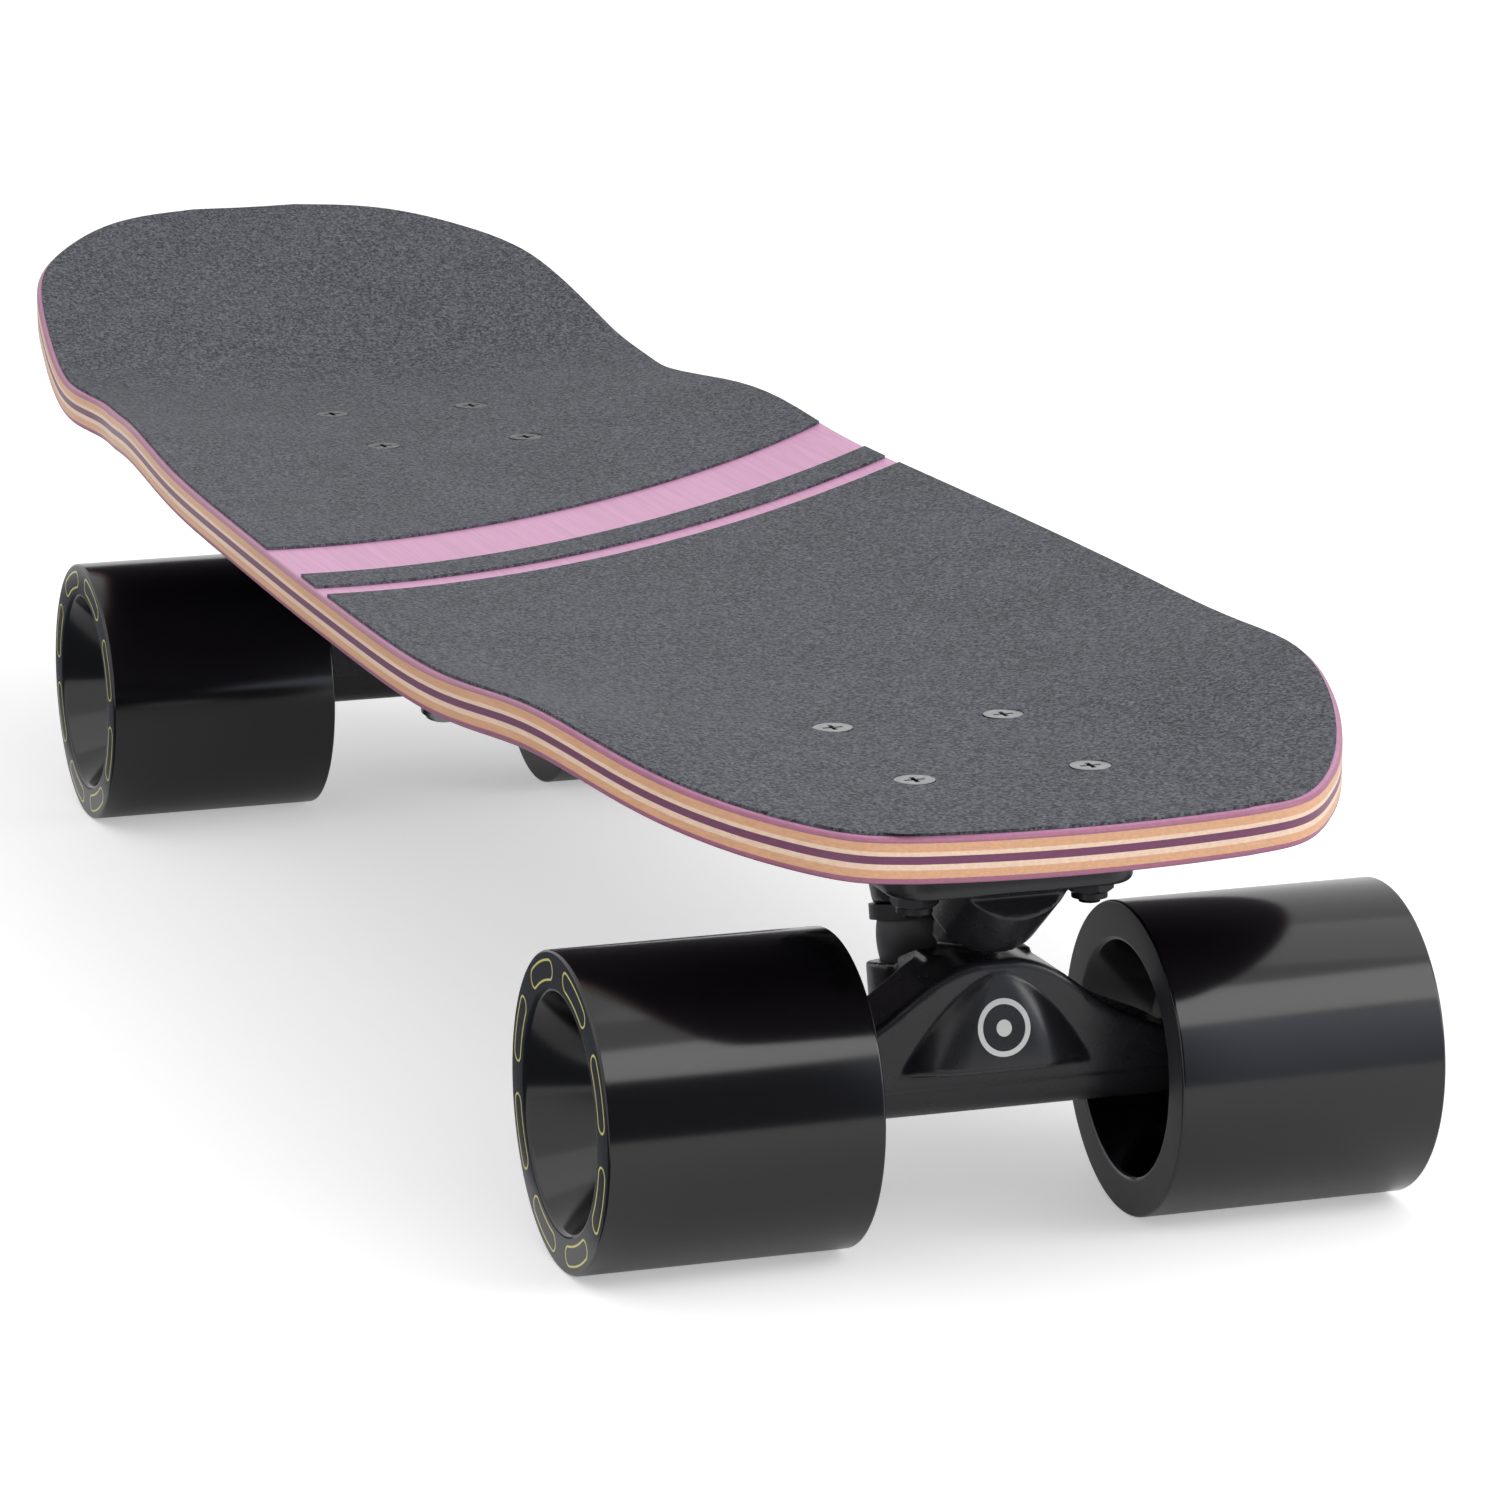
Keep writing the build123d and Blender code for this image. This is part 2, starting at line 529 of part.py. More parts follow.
def make_hanger():
    """Axle tube, web with its front panel, yoke with the bushing ring, and the pivot stem."""
    tube = Pos(0, 0, axle_z) * Rot(90, 0, 0) * Cylinder(TUBE_DIAMETER / 2, HANGER_WIDTH)
    low = axle_z + SEAT_ABOVE - RING_THICKNESS / 2
    yoke = [
        (-SEAT_BEHIND, low),
        (0, axle_z + YOKE_FOOT),
        (0, axle_z + YOKE_TOP),
        (-WEB_TOP_BACK, axle_z + YOKE_TOP),
        (-SEAT_BEHIND, low + RING_THICKNESS),
    ]
    arms = extrude(make_face(Plane.XZ * Polyline(*yoke, close=True)), YOKE_WIDTH / 2, both=True)
    seat_ring = kingpin_plane * rod(RING_DIAMETER, -RING_THICKNESS / 2, RING_THICKNESS / 2)
    body = tube + web_block() + arms + seat_ring + pivot_stem(0) + front_panel()
    board_room = BOARD_BUSHING_DIAMETER + 2 * WASHER_LIP + 2 * SWING_ROOM
    road_room = ROAD_BUSHING_TOP_DIAMETER + 2 * SWING_ROOM
    tools = (
        rod(RING_HOLE_DIAMETER, -RING_THICKNESS, RING_THICKNESS)
        + rod(BOARD_BUSHING_DIAMETER + 2 * SEAT_CLEARANCE, board_seat, RING_THICKNESS)
        + rod(ROAD_BUSHING_TOP_DIAMETER + 2 * SEAT_CLEARANCE, -RING_THICKNESS, -board_seat)
        + rod(board_room, RING_THICKNESS / 2, KINGPIN_HEAD_SEAT)
        + rod(road_room, 2 * kingpin_nut_face, -RING_THICKNESS / 2)
    )
    bore = Pos(0, 0, axle_z) * Rot(90, 0, 0) * Cylinder(AXLE_DIAMETER / 2 + FIT_GAP, 2 * HANGER_WIDTH)
    return body - kingpin_plane * tools - bore


# Wheels, bearings and axle, along the axle from the middle of a wheel, outwards positive


def wheel_axis(side):
    """Plane at a wheel's middle with its Z axis pointing outwards along the axle."""
    return Plane(origin=(0, side * wheel_y, axle_z), x_dir=(1, 0, 0), z_dir=(0, side, 0))


def make_wheel():
    """The urethane wheel: a tread with a deep recess and a bearing seat on each side."""
    rim = WHEEL_DIAMETER / 2
    mouth = RECESS_MOUTH_DIAMETER / 2
    floor = RECESS_FLOOR_DIAMETER / 2
    bearing = BEARING_DIAMETER / 2 + FIT_GAP
    edge = WHEEL_WIDTH / 2
    half = [
        (rim, edge),
        (mouth, edge),
        (floor, hub_width / 2),
        (bearing, hub_width / 2),
        (bearing, SPACER_LENGTH / 2),
        (SHOULDER_DIAMETER / 2, SPACER_LENGTH / 2),
    ]
    outline = half + [(r, -z) for r, z in reversed(half)]
    section = make_face(Plane.XZ * Polyline(*outline, close=True))
    rim_corners = [v for v in section.vertices() if v.X > floor + RECESS_FLOOR_ROUND]
    section = fillet(rim_corners, WHEEL_EDGE_ROUND)
    floor_corners = [v for v in section.vertices() if abs(v.X - floor) < FIT_GAP]
    section = fillet(floor_corners, RECESS_FLOOR_ROUND)
    return revolve(section, Axis.Z)


def race_groove():
    """The round track in which the balls run."""
    return Torus(ball_circle, BALL_DIAMETER / 2 + BALL_CLEARANCE)


def make_bearing():
    """One ball bearing about the local Z axis, by piece."""
    half = BEARING_WIDTH / 2
    inner = ring(2 * inner_race_radius, BEARING_BORE + 2 * FIT_GAP, -half, half) - race_groove()
    outer = ring(BEARING_DIAMETER, 2 * outer_race_radius, -half, half) - race_groove()
    balls = PolarLocations(ball_circle, BALL_COUNT)
    cage = ring(2 * ball_circle + CAGE_WALL, 2 * ball_circle - CAGE_WALL, -CAGE_WIDTH / 2, CAGE_WIDTH / 2)
    pocket = Rot(0, 90, 0) * Cylinder(BALL_DIAMETER / 2 + POCKET_CLEARANCE, CAGE_WIDTH)
    cage -= [place * pocket for place in balls]
    face = half - SHIELD_INSET
    shield = ring(
        2 * outer_race_radius - 2 * FIT_GAP,
        2 * inner_race_radius + 2 * SHIELD_RUNNING_GAP,
        face - SHIELD_THICKNESS,
        face,
    )
    return {
        "inner": [inner],
        "outer": [outer],
        "balls": [cage] + [place * Sphere(BALL_DIAMETER / 2) for place in balls],
        "shields": [shield, Rot(180, 0, 0) * shield],
    }


def make_axle_parts():
    """Axle, nuts, speed washers and spacers of one truck, with its axle over the origin."""
    nut_face = bearing_outside + SPEED_WASHER_THICKNESS
    nut_end = nut_face + AXLE_NUT_HEIGHT + AXLE_NUT_COLLAR
    reach = wheel_y + nut_end + AXLE_END
    axle = Pos(0, 0, axle_z) * Rot(90, 0, 0) * Cylinder(AXLE_DIAMETER / 2, 2 * reach)
    nut = lock_nut(AXLE_NUT_FLATS, AXLE_NUT_HEIGHT, AXLE_NUT_COLLAR, AXLE_DIAMETER + 2 * FIT_GAP)
    hole = AXLE_DIAMETER + 4 * FIT_GAP
    washer = ring(SPEED_WASHER_DIAMETER, hole, bearing_outside, nut_face)
    inside_washer = ring(SPEED_WASHER_DIAMETER, hole, -nut_face, -bearing_outside)
    spacer = ring(SPACER_DIAMETER, hole, -SPACER_LENGTH / 2, SPACER_LENGTH / 2)
    sides = [wheel_axis(1), wheel_axis(-1)]
    return {
        "axle": axle,
        "axle_nuts": [side * Pos(0, 0, nut_face) * nut for side in sides],
        "speed_washers": [side * piece for side in sides for piece in (washer, inside_washer)],
        "bearing_spacers": [side * spacer for side in sides],
    }


def make_trucks():
    """Both trucks with their wheels, each piece in its place on the board."""
    parts = {
        "baseplate": make_baseplate(),
        "pivot_cup": pivot_cup(0) - pivot_stem(STEM_CLEARANCE),
        "hanger": make_hanger(),
        **make_kingpin_stack(),
        **make_axle_parts(),
    }
    wheel = make_wheel()
    bearing = make_bearing()
    bearing_spots = [Pos(0, 0, bearing_middle), Pos(0, 0, -bearing_middle)]
    nodes = {}
    for end, place in truck_places.items():
        for name, piece in parts.items():
            pieces = piece if isinstance(piece, list) else [piece]
            nodes[f"{end}_{name}"] = [place * one for one in pieces]
        nodes[f"{end}_inner_races"] = []
        for side in (1, -1):
            turned = side if end == "front" else -side
            corner = f"{end}_{'left' if turned > 0 else 'right'}"
            hub = place * wheel_axis(side).location
            spots = [hub * spot for spot in bearing_spots]
            nodes[f"{end}_inner_races"] += [spot * race for spot in spots for race in bearing["inner"]]
            nodes[f"{corner}_wheel"] = hub * wheel
            nodes[f"{corner}_outer_races"] = [spot * race for spot in spots for race in bearing["outer"]]
            nodes[f"{corner}_bearing_shields"] = [spot * one for spot in spots for one in bearing["shields"]]
            nodes[f"{corner}_ball_sets"] = [spot * ball for spot in spots for ball in bearing["balls"]]
    return nodes


def write_nodes(nodes):
    """Write each node's solids to a file of its own."""
    os.makedirs("parts", exist_ok=True)
    for name, shape in nodes.items():
        solids = []
        for piece in shape if isinstance(shape, list) else [shape]:
            solids += piece.solids()
        body = solids[0] if len(solids) == 1 else Compound(children=solids)
        export_step(body, f"parts/{name}.step")


write_nodes({**make_deck(), **make_trucks()})
steer = pivot - seat
print(f"steer axis leans {degrees(atan2(steer.Z, steer.X)):.2f} degrees")
print(f"axles at {front_axle_x:.2f} and {rear_axle_x:.2f}, wheels at {wheel_y:.2f}, deck {deck_length:.1f}")
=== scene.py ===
"""A short cruiser skateboard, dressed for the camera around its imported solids.

The plies of the deck, the wheels and the bushings are rebuilt here as parametric
surfaces, with the sanded rims, turned lips and pressed bulges of the real pieces.
The castings are rebuilt from their solids with the soft edges of a mould. Every
other solid keeps its shape and gets its finish.

Lengths are millimetres unless a name says otherwise, in the frame of the solids:
+X to the nose, +Y to the rider's left, +Z up, the ground at Z = 0.
"""

from __future__ import annotations

import json
import logging
import math
from dataclasses import asdict, dataclass
from enum import Enum

import bpy
import numpy as np
from mathutils import Matrix

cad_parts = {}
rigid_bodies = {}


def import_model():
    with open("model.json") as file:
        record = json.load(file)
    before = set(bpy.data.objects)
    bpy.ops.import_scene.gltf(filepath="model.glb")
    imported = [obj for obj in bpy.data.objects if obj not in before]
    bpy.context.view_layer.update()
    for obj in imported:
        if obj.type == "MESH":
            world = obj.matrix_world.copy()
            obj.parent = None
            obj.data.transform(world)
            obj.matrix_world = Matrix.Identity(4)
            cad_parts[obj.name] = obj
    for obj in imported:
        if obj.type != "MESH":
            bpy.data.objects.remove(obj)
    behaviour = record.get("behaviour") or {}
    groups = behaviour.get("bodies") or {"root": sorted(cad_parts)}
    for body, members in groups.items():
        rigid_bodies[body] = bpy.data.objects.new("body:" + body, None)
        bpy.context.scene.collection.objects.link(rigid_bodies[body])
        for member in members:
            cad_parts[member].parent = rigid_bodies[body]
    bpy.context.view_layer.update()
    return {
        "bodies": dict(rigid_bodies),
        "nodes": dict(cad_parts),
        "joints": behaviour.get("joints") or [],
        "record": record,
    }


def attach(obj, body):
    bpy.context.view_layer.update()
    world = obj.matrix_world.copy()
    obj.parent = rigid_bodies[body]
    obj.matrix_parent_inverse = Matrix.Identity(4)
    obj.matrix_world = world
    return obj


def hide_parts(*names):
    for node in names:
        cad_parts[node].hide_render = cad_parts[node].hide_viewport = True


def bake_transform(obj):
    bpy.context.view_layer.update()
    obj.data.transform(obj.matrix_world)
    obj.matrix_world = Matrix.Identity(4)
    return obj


LOG = logging.getLogger("skateboard")
MM = 0.001
WELD = 0.002  # points of a solid's mesh that are nearer than this are one
Array = np.ndarray
Pair = tuple[float, float]
Triple = tuple[float, float, float]
Tree = bpy.types.NodeTree
Socket = bpy.types.NodeSocket


class End(Enum):
    """The two ends of the board, with the way each one points along X."""

    FRONT = 1
    REAR = -1

    @property
    def label(self) -> str:
        """The word that starts the names of this end's nodes."""
        return self.name.lower()


class Side(Enum):
    """The two sides of the board, with the way each one points along Y."""

    LEFT = 1
    RIGHT = -1

    @property
    def label(self) -> str:
        """The word for this side in the nodes' names."""
        return self.name.lower()


# Mesh tools


def grid_quads(rows: int, columns: int, close_columns: bool = False) -> Array:
    """Number the quads of a grid whose points run row by row.

    Args:
        rows: Points along the first parameter.
        columns: Points along the second parameter.
        close_columns: Whether the last column joins the first.

    Returns:
        An array of four point numbers for each quad.
    """
    row, column = np.meshgrid(
        np.arange(rows - 1), np.arange(columns if close_columns else columns - 1), indexing="ij"
    )
    after = (column + 1) % columns
    quads = [row * columns + column, (row + 1) * columns + column]
    quads += [(row + 1) * columns + after, row * columns + after]
    return np.stack(quads, axis=-1).reshape(-1, 4)


def facing_out(points: Array, quads: Array) -> Array:
    """Turn a closed shell's quads so that they face outwards.

    The shell's volume is the sum of the tetrahedra between each triangle and the
    origin; a negative sum means that the faces point inwards.

    Args:
        points: The shell's points.
        quads: The shell's quads.

    Returns:
        The quads, turned round if they pointed inwards.
    """
    a, b, c, d = (points[quads[:, k]] for k in range(4))
    volume = np.einsum("ij,ij->", np.cross(a, b), c) + np.einsum("ij,ij->", np.cross(a, c), d)
    return quads if volume > 0 else quads[:, ::-1]


def new_piece(name: str, points: Array, quads: Array, sharp_deg: float = 35.0) -> bpy.types.Object:
    """Put a surface into the scene as a smooth-shaded object at the origin.

    Args:
        name: The piece's name.
        points: Points in millimetres.
        quads: Four point numbers for each face.
        sharp_deg: Edges that turn by more than this stay sharp.

    Returns:
        The new object.
    """
    mesh = bpy.data.meshes.new(name)
    mesh.from_pydata(points * MM, [], quads)
    mesh.shade_smooth()
    mesh.set_sharp_from_angle(angle=math.radians(sharp_deg))
    mesh.update()
    piece = bpy.data.objects.new(name, mesh)
    bpy.context.scene.collection.objects.link(piece)
    return piece


def rounded_outline(corners: Array, rounds: Array, arc_points: int) -> Array:
    """Round the corners of a closed outline.

    Each corner becomes an arc that touches both of its sides: with half the corner's
    angle h, the arc's centre lies round / sin(h) along the corner's bisector.

    Args:
        corners: The outline's corners, in order.
        rounds: Each corner's radius.
        arc_points: Points on each arc.

    Returns:
        The points of the rounded outline, in the same order.
    """
    back = np.roll(corners, 1, axis=0) - corners
    ahead = np.roll(corners, -1, axis=0) - corners
    back /= np.linalg.norm(back, axis=1, keepdims=True)
    ahead /= np.linalg.norm(ahead, axis=1, keepdims=True)
    half = 0.5 * np.arccos(np.clip(np.einsum("ij,ij->i", back, ahead), -1, 1))
    bisector = back + ahead
    bisector /= np.linalg.norm(bisector, axis=1, keepdims=True)
    centre = corners + bisector * (rounds / np.sin(half))[:, None]
    reach = (rounds / np.tan(half))[:, None]
    start = corners + back * reach - centre
    stop = corners + ahead * reach - centre
    first = np.arctan2(start[:, 1], start[:, 0])
    turn = np.arctan2(stop[:, 1], stop[:, 0]) - first
    turn = (turn + np.pi) % (2 * np.pi) - np.pi
    angle = first[:, None] + turn[:, None] * np.linspace(0, 1, arc_points)
    arc = np.stack([np.cos(angle), np.sin(angle)], axis=-1) * rounds[:, None, None]
    return (centre[:, None, :] + arc).reshape(-1, 2)


def revolved(
    name: str, profile: Array, origin: Array, axis: Array, segments: int
) -> bpy.types.Object:
    """Carry a closed profile once round an axis.

    A profile point (r, w) at the angle t lands on origin + w * axis + r * (cos t * e + sin t * f),
    where e and f are square to the axis. The UV map holds the turn, and the length along the
    profile in metres.

    Args:
        name: The piece's name.
        profile: Radius and place along the axis of each profile point.
        origin: The point from which places along the axis count.
        axis: The axis, of length 1.
        segments: Steps round the axis.

    Returns:
        The new object.
    """
    steep = abs(axis[2]) > math.cos(math.radians(45))
    e = np.cross(axis, (1.0, 0.0, 0.0) if steep else (0.0, 0.0, 1.0))
    e /= np.linalg.norm(e)
    f = np.cross(axis, e)
    turn = 2 * np.pi * np.arange(segments) / segments
    round_axis = np.cos(turn)[:, None] * e + np.sin(turn)[:, None] * f
    closed = np.vstack([profile, profile[:1]])
    rows = len(closed)
    points = (
        origin + closed[:, None, 1:] * axis + closed[:, None, :1] * round_axis[None, :, :]
    ).reshape(-1, 3)
    quads = grid_quads(rows, segments, close_columns=True)
    joined = np.where(quads >= (rows - 1) * segments, quads - (rows - 1) * segments, quads)
    points = points[: (rows - 1) * segments]
    outward = facing_out(points, joined)
    piece = new_piece(name, points, outward)

    along = np.concatenate([[0.0], np.cumsum(np.linalg.norm(np.diff(closed, axis=0), axis=1))])
    row, column = np.meshgrid(np.arange(rows - 1), np.arange(segments), indexing="ij")
    corner_rows = np.stack([row, row + 1, row + 1, row], axis=-1).reshape(-1, 4)
    corner_columns = np.stack([column, column, column + 1, column + 1], axis=-1).reshape(-1, 4)
    if outward is not joined:
        corner_rows, corner_columns = corner_rows[:, ::-1], corner_columns[:, ::-1]
    uv = np.stack([corner_columns / segments, along[corner_rows] * MM], axis=-1)
    piece.data.uv_layers.new(name="turned").data.foreach_set("uv", uv.astype(np.float32).ravel())
    return piece


def softened(name: str, node: bpy.types.Object, voxel: float, passes: int) -> bpy.types.Object:
    """Rebuild a solid with the soft edges of a casting.

    The solid's skin is filled with voxels, meshed again and relaxed, which rounds each edge
    by about the voxel size times the square root of the passes.

    Args:
        name: The new piece's name.
        node: The solid's object, which is left as it is.
        voxel: Voxel size in millimetres.
        passes: Smoothing passes.

    Returns:
        The new object.
    """
    work = bpy.data.objects.new(name + "_work", node.data.copy())
    bpy.context.scene.collection.objects.link(work)
    weld = work.modifiers.new("weld", "WELD")
    weld.merge_threshold = WELD * MM
    remesh = work.modifiers.new("voxels", "REMESH")
    remesh.mode = "VOXEL"
    remesh.voxel_size = voxel * MM
    smooth = work.modifiers.new("relax", "SMOOTH")
    smooth.iterations = passes
    graph = bpy.context.evaluated_depsgraph_get()
    mesh = bpy.data.meshes.new_from_object(work.evaluated_get(graph))
    bpy.data.objects.remove(work)
    mesh.name = name
    mesh.shade_smooth()
    piece = bpy.data.objects.new(name, mesh)
    bpy.context.scene.collection.objects.link(piece)
    return piece


# Finishes


WHITE = (1.0, 1.0, 1.0, 1.0)
# Most of a noise's values lie between these.
NOISE_RANGE = (0.3, 0.7)
VECTOR = "ShaderNodeVectorMath"


def linear(colour: str) -> tuple[float, float, float, float]:
    """Turn an sRGB hex colour into the linear RGBA that shaders use.

    Args:
        colour: The colour, as # and six hex digits.

    Returns:
        Red, green, blue and an alpha of 1.
    """
    values = np.array([int(colour[k : k + 2], 16) for k in (1, 3, 5)]) / 255
    curved = ((values + 0.055) / 1.055) ** 2.4
    red, green, blue = np.where(values <= 0.04045, values / 12.92, curved)
    return float(red), float(green), float(blue), 1.0


def per_metre(size: float) -> float:
    """The texture scale at which a pattern repeats every size millimetres."""
    return 1 / (size * MM)


def add_node(
    tree: Tree, kind: str, sockets: dict | None = None, **settings: object
) -> bpy.types.Node:
    """Add a node with its settings, and fill its sockets with values or links.

    Args:
        tree: The material's or the world's node tree.
        kind: The node's type name.
        sockets: A value, or another node's output, for each named or numbered input.
        **settings: The node's own properties.

    Returns:
        The new node.
    """
    node = tree.nodes.new(kind)
    for name, value in settings.items():
        setattr(node, name, value)
    for key, value in (sockets or {}).items():
        if isinstance(value, Socket):
            tree.links.new(value, node.inputs[key])
        else:
            node.inputs[key].default_value = value
    return node


def place_in(tree: Tree) -> Socket:
    """The place of the shaded point in the object's own coordinates, in metres."""
    return add_node(tree, "ShaderNodeTexCoord").outputs["Object"]


def calculate(
    tree: Tree,
    operation: str,
    *values: object,
    kind: str = "ShaderNodeMath",
    result: int | str = 0,
) -> Socket:
    """The answer of a sum in the shader, on numbers or outputs given in the sum's order."""
    return add_node(tree, kind, dict(enumerate(values)), operation=operation).outputs[result]


def mixed(
    tree: Tree, share: object, first: object, second: object, blend: str = "MIX"
) -> Socket:
    """Two colours mixed by a share of the second, or blended another way."""
    sockets = {0: share, 6: first, 7: second}
    return add_node(tree, "ShaderNodeMix", sockets, data_type="RGBA", blend_type=blend).outputs[2]


def noise(
    tree: Tree,
    place: Socket,
    scale: float,
    detail: float,
    roughness: float = 0.5,
) -> Socket:
    """A noise drawn in the coordinates of place, with a number of finer layers."""
    sockets = {"Vector": place, "Scale": scale, "Detail": detail, "Roughness": roughness}
    return add_node(tree, "ShaderNodeTexNoise", sockets).outputs["Fac"]


def stretched(
    tree: Tree, place: Socket, scale: Triple
) -> Socket:
    """Coordinates scaled by a factor of their own along each axis."""
    return add_node(tree, "ShaderNodeMapping", {"Vector": place, "Scale": scale}).outputs["Vector"]


def remapped(
    tree: Tree,
    value: Socket,
    source: Pair,
    target: tuple[object, object],
) -> Socket:
    """Carry a value from one range to another.

    Args:
        tree: The node tree.
        value: The output with the value.
        source: The range that it comes from.
        target: The range that it goes to, as numbers or outputs.

    Returns:
        The output with the new value.
    """
    names = ("From Min", "From Max", "To Min", "To Max")
    sockets = {"Value": value, **dict(zip(names, (*source, *target)))}
    return add_node(tree, "ShaderNodeMapRange", sockets).outputs["Result"]


def bumped(
    tree: Tree,
    height: Socket,
    strength: float,
    distance: float,
    invert: bool = False,
) -> Socket:
    """The normal bent by a pattern's relief, whose depth is in millimetres."""
    sockets = {"Height": height, "Strength": strength, "Distance": distance * MM}
    return add_node(tree, "ShaderNodeBump", sockets, invert=invert).outputs["Normal"]


def new_material(name: str) -> bpy.types.Material:
    """Make a material with an empty node tree.

    Args:
        name: The material's name.

    Returns:
        The new material.
    """
    made = bpy.data.materials.new(name)
    made.use_nodes = True
    made.node_tree.nodes.clear()
    return made


@dataclass(frozen=True)
class Finish:
    """A surface finish: the part that every material here shares."""

    name: str

    def surface(self, tree: Tree) -> dict[str, object]:
        """Add the finish's own nodes, and say what goes into each socket of the shader."""
        raise NotImplementedError

    def material(self) -> bpy.types.Material:
        """Make the material once, and give the same one after that.

        Returns:
            The finish's material.
        """
        made = bpy.data.materials.get(self.name)
        if made is None:
            made = new_material(self.name)
            tree = made.node_tree
            shader = add_node(tree, "ShaderNodeBsdfPrincipled", self.surface(tree))
            add_node(tree, "ShaderNodeOutputMaterial", {"Surface": shader.outputs["BSDF"]})
        return made

    def dress(self, piece: bpy.types.Object) -> None:
        """Put the finish on a piece, in every one of its material slots.

        Args:
            piece: The piece.
        """
        if not piece.material_slots:
            piece.data.materials.append(None)
        for slot in piece.material_slots:
            slot.material = self.material()


@dataclass(frozen=True)
class GripTape(Finish):
    """Silicon carbide grit glued on a black film: matt, with light and dark grains side by side."""

    dark: str = "#1c1f24"
    light: str = "#74777f"
    tones: Pair = (0.02, 0.74)
    # Real grit is about 0.2 mm; it is drawn coarser, or the render would average it away.
    grain: float = 0.65
    speck_share: float = 1.7
    blotch: float = 34.0
    unevenness: float = 0.14
    height: float = 0.16
    relief: float = 0.55
    roughness: float = 0.78
    specular: float = 0.35

    def surface(self, tree: Tree) -> dict[str, object]:
        """Give each grain its own grey, and a rounded top.

        Args:
            tree: The material's node tree.

        Returns:
            What goes into each socket of the shader.
        """
        place = place_in(tree)
        grains = add_node(
            tree, "ShaderNodeTexVoronoi", {"Vector": place, "Scale": per_metre(self.grain)}
        ).outputs
        grey = add_node(tree, "ShaderNodeSeparateColor", {"Color": grains["Color"]}).outputs["Red"]
        fine = noise(tree, place, per_metre(self.grain * self.speck_share), detail=2.0)
        blotches = noise(tree, place, per_metre(self.blotch), detail=3.0)
        specks = calculate(tree, "MULTIPLY", grey, fine)
        tone = calculate(tree, "MULTIPLY_ADD", blotches, self.unevenness, specks)
        ramp = add_node(tree, "ShaderNodeValToRGB", {"Fac": tone})
        ends = zip(ramp.color_ramp.elements, self.tones, (self.dark, self.light))
        for element, at, colour in ends:
            element.position = at
            element.color = linear(colour)
        return {
            "Base Color": ramp.outputs["Color"],
            "Normal": bumped(tree, grains["Distance"], self.relief, self.height, invert=True),
            "Roughness": self.roughness,
            "Specular IOR Level": self.specular,
        }


@dataclass(frozen=True)
class StainedMaple(Finish):
    """Rotary-cut maple, dyed and sealed: a silky face with fine pores, deeper at its cut edge."""

    face: str
    edge: str
    fibre: float = 1.3
    fibre_length: float = 70.0
    fibre_range: Pair = (0.3, 0.72)
    contrast: float = 0.2
    pore_depth: float = 0.08
    relief: float = 0.25
    roughness: float = 0.46
    coat: float = 0.15
    coat_roughness: float = 0.25

    def surface(self, tree: Tree) -> dict[str, object]:
        """Draw the fibres along the board, and give the cut edge its own dye.

        Args:
            tree: The material's node tree.

        Returns:
            What goes into each socket of the shader.
        """
        sizes = (self.fibre_length, self.fibre, self.fibre / 2)
        along = stretched(tree, place_in(tree), tuple(per_metre(size) for size in sizes))
        fibres = noise(tree, along, 1.0, detail=5.0, roughness=0.62)
        cut = add_node(tree, "ShaderNodeAttribute", attribute_name="cut_edge").outputs["Fac"]
        dye = mixed(tree, cut, linear(self.face), linear(self.edge))
        shade = remapped(tree, fibres, self.fibre_range, (1 - self.contrast, 1.0))
        return {
            "Base Color": mixed(tree, 1.0, dye, shade, "MULTIPLY"),
            "Normal": bumped(tree, fibres, self.relief, self.pore_depth),
            "Roughness": self.roughness,
            "Coat Weight": self.coat,
            "Coat Roughness": self.coat_roughness,
        }


@dataclass(frozen=True)
class Coated(Finish):
    """A pigmented skin with a fine texture: powder coat, moulded rubber, oxide on steel."""

    colour: str
    roughness: float
    texture: float
    height: float
    specular: float = 0.5
    metallic: float = 0.0
    patch: float = 14.0
    sheen_change: float = 0.06
    relief: float = 0.4

    def surface(self, tree: Tree) -> dict[str, object]:
        """Give the skin its orange peel, and a sheen that varies a little.

        Args:
            tree: The material's node tree.

        Returns:
            What goes into each socket of the shader.
        """
        place = place_in(tree)
        peel = noise(tree, place, per_metre(self.texture), detail=3.0)
        patches = noise(tree, place, per_metre(self.patch), detail=4.0, roughness=0.6)
        sheen = (self.roughness - self.sheen_change, self.roughness + self.sheen_change)
        return {
            "Base Color": linear(self.colour),
            "Roughness": remapped(tree, patches, NOISE_RANGE, sheen),
            "Normal": bumped(tree, peel, self.relief, self.height),
            "Specular IOR Level": self.specular,
            "Metallic": self.metallic,
        }


@dataclass(frozen=True)
class TurnedSteel(Finish):
    """Bare or zinc-plated steel: bright metal with the fine lines of turning and handling."""

    colour: str
    roughness: float
    line: float = 0.5
    line_length: float = 9.0
    sheen_shares: Pair = (0.75, 1.3)

    def surface(self, tree: Tree) -> dict[str, object]:
        """Draw fine lines in the metal's sheen.

        Args:
            tree: The material's node tree.

        Returns:
            What goes into each socket of the shader.
        """
        sizes = (self.line_length, self.line, self.line_length)
        along = stretched(tree, place_in(tree), tuple(per_metre(size) for size in sizes))
        lines = noise(tree, along, 1.0, detail=4.0)
        sheen = tuple(self.roughness * share for share in self.sheen_shares)
        return {
            "Base Color": linear(self.colour),
            "Roughness": remapped(tree, lines, NOISE_RANGE, sheen),
            "Metallic": 1.0,
        }


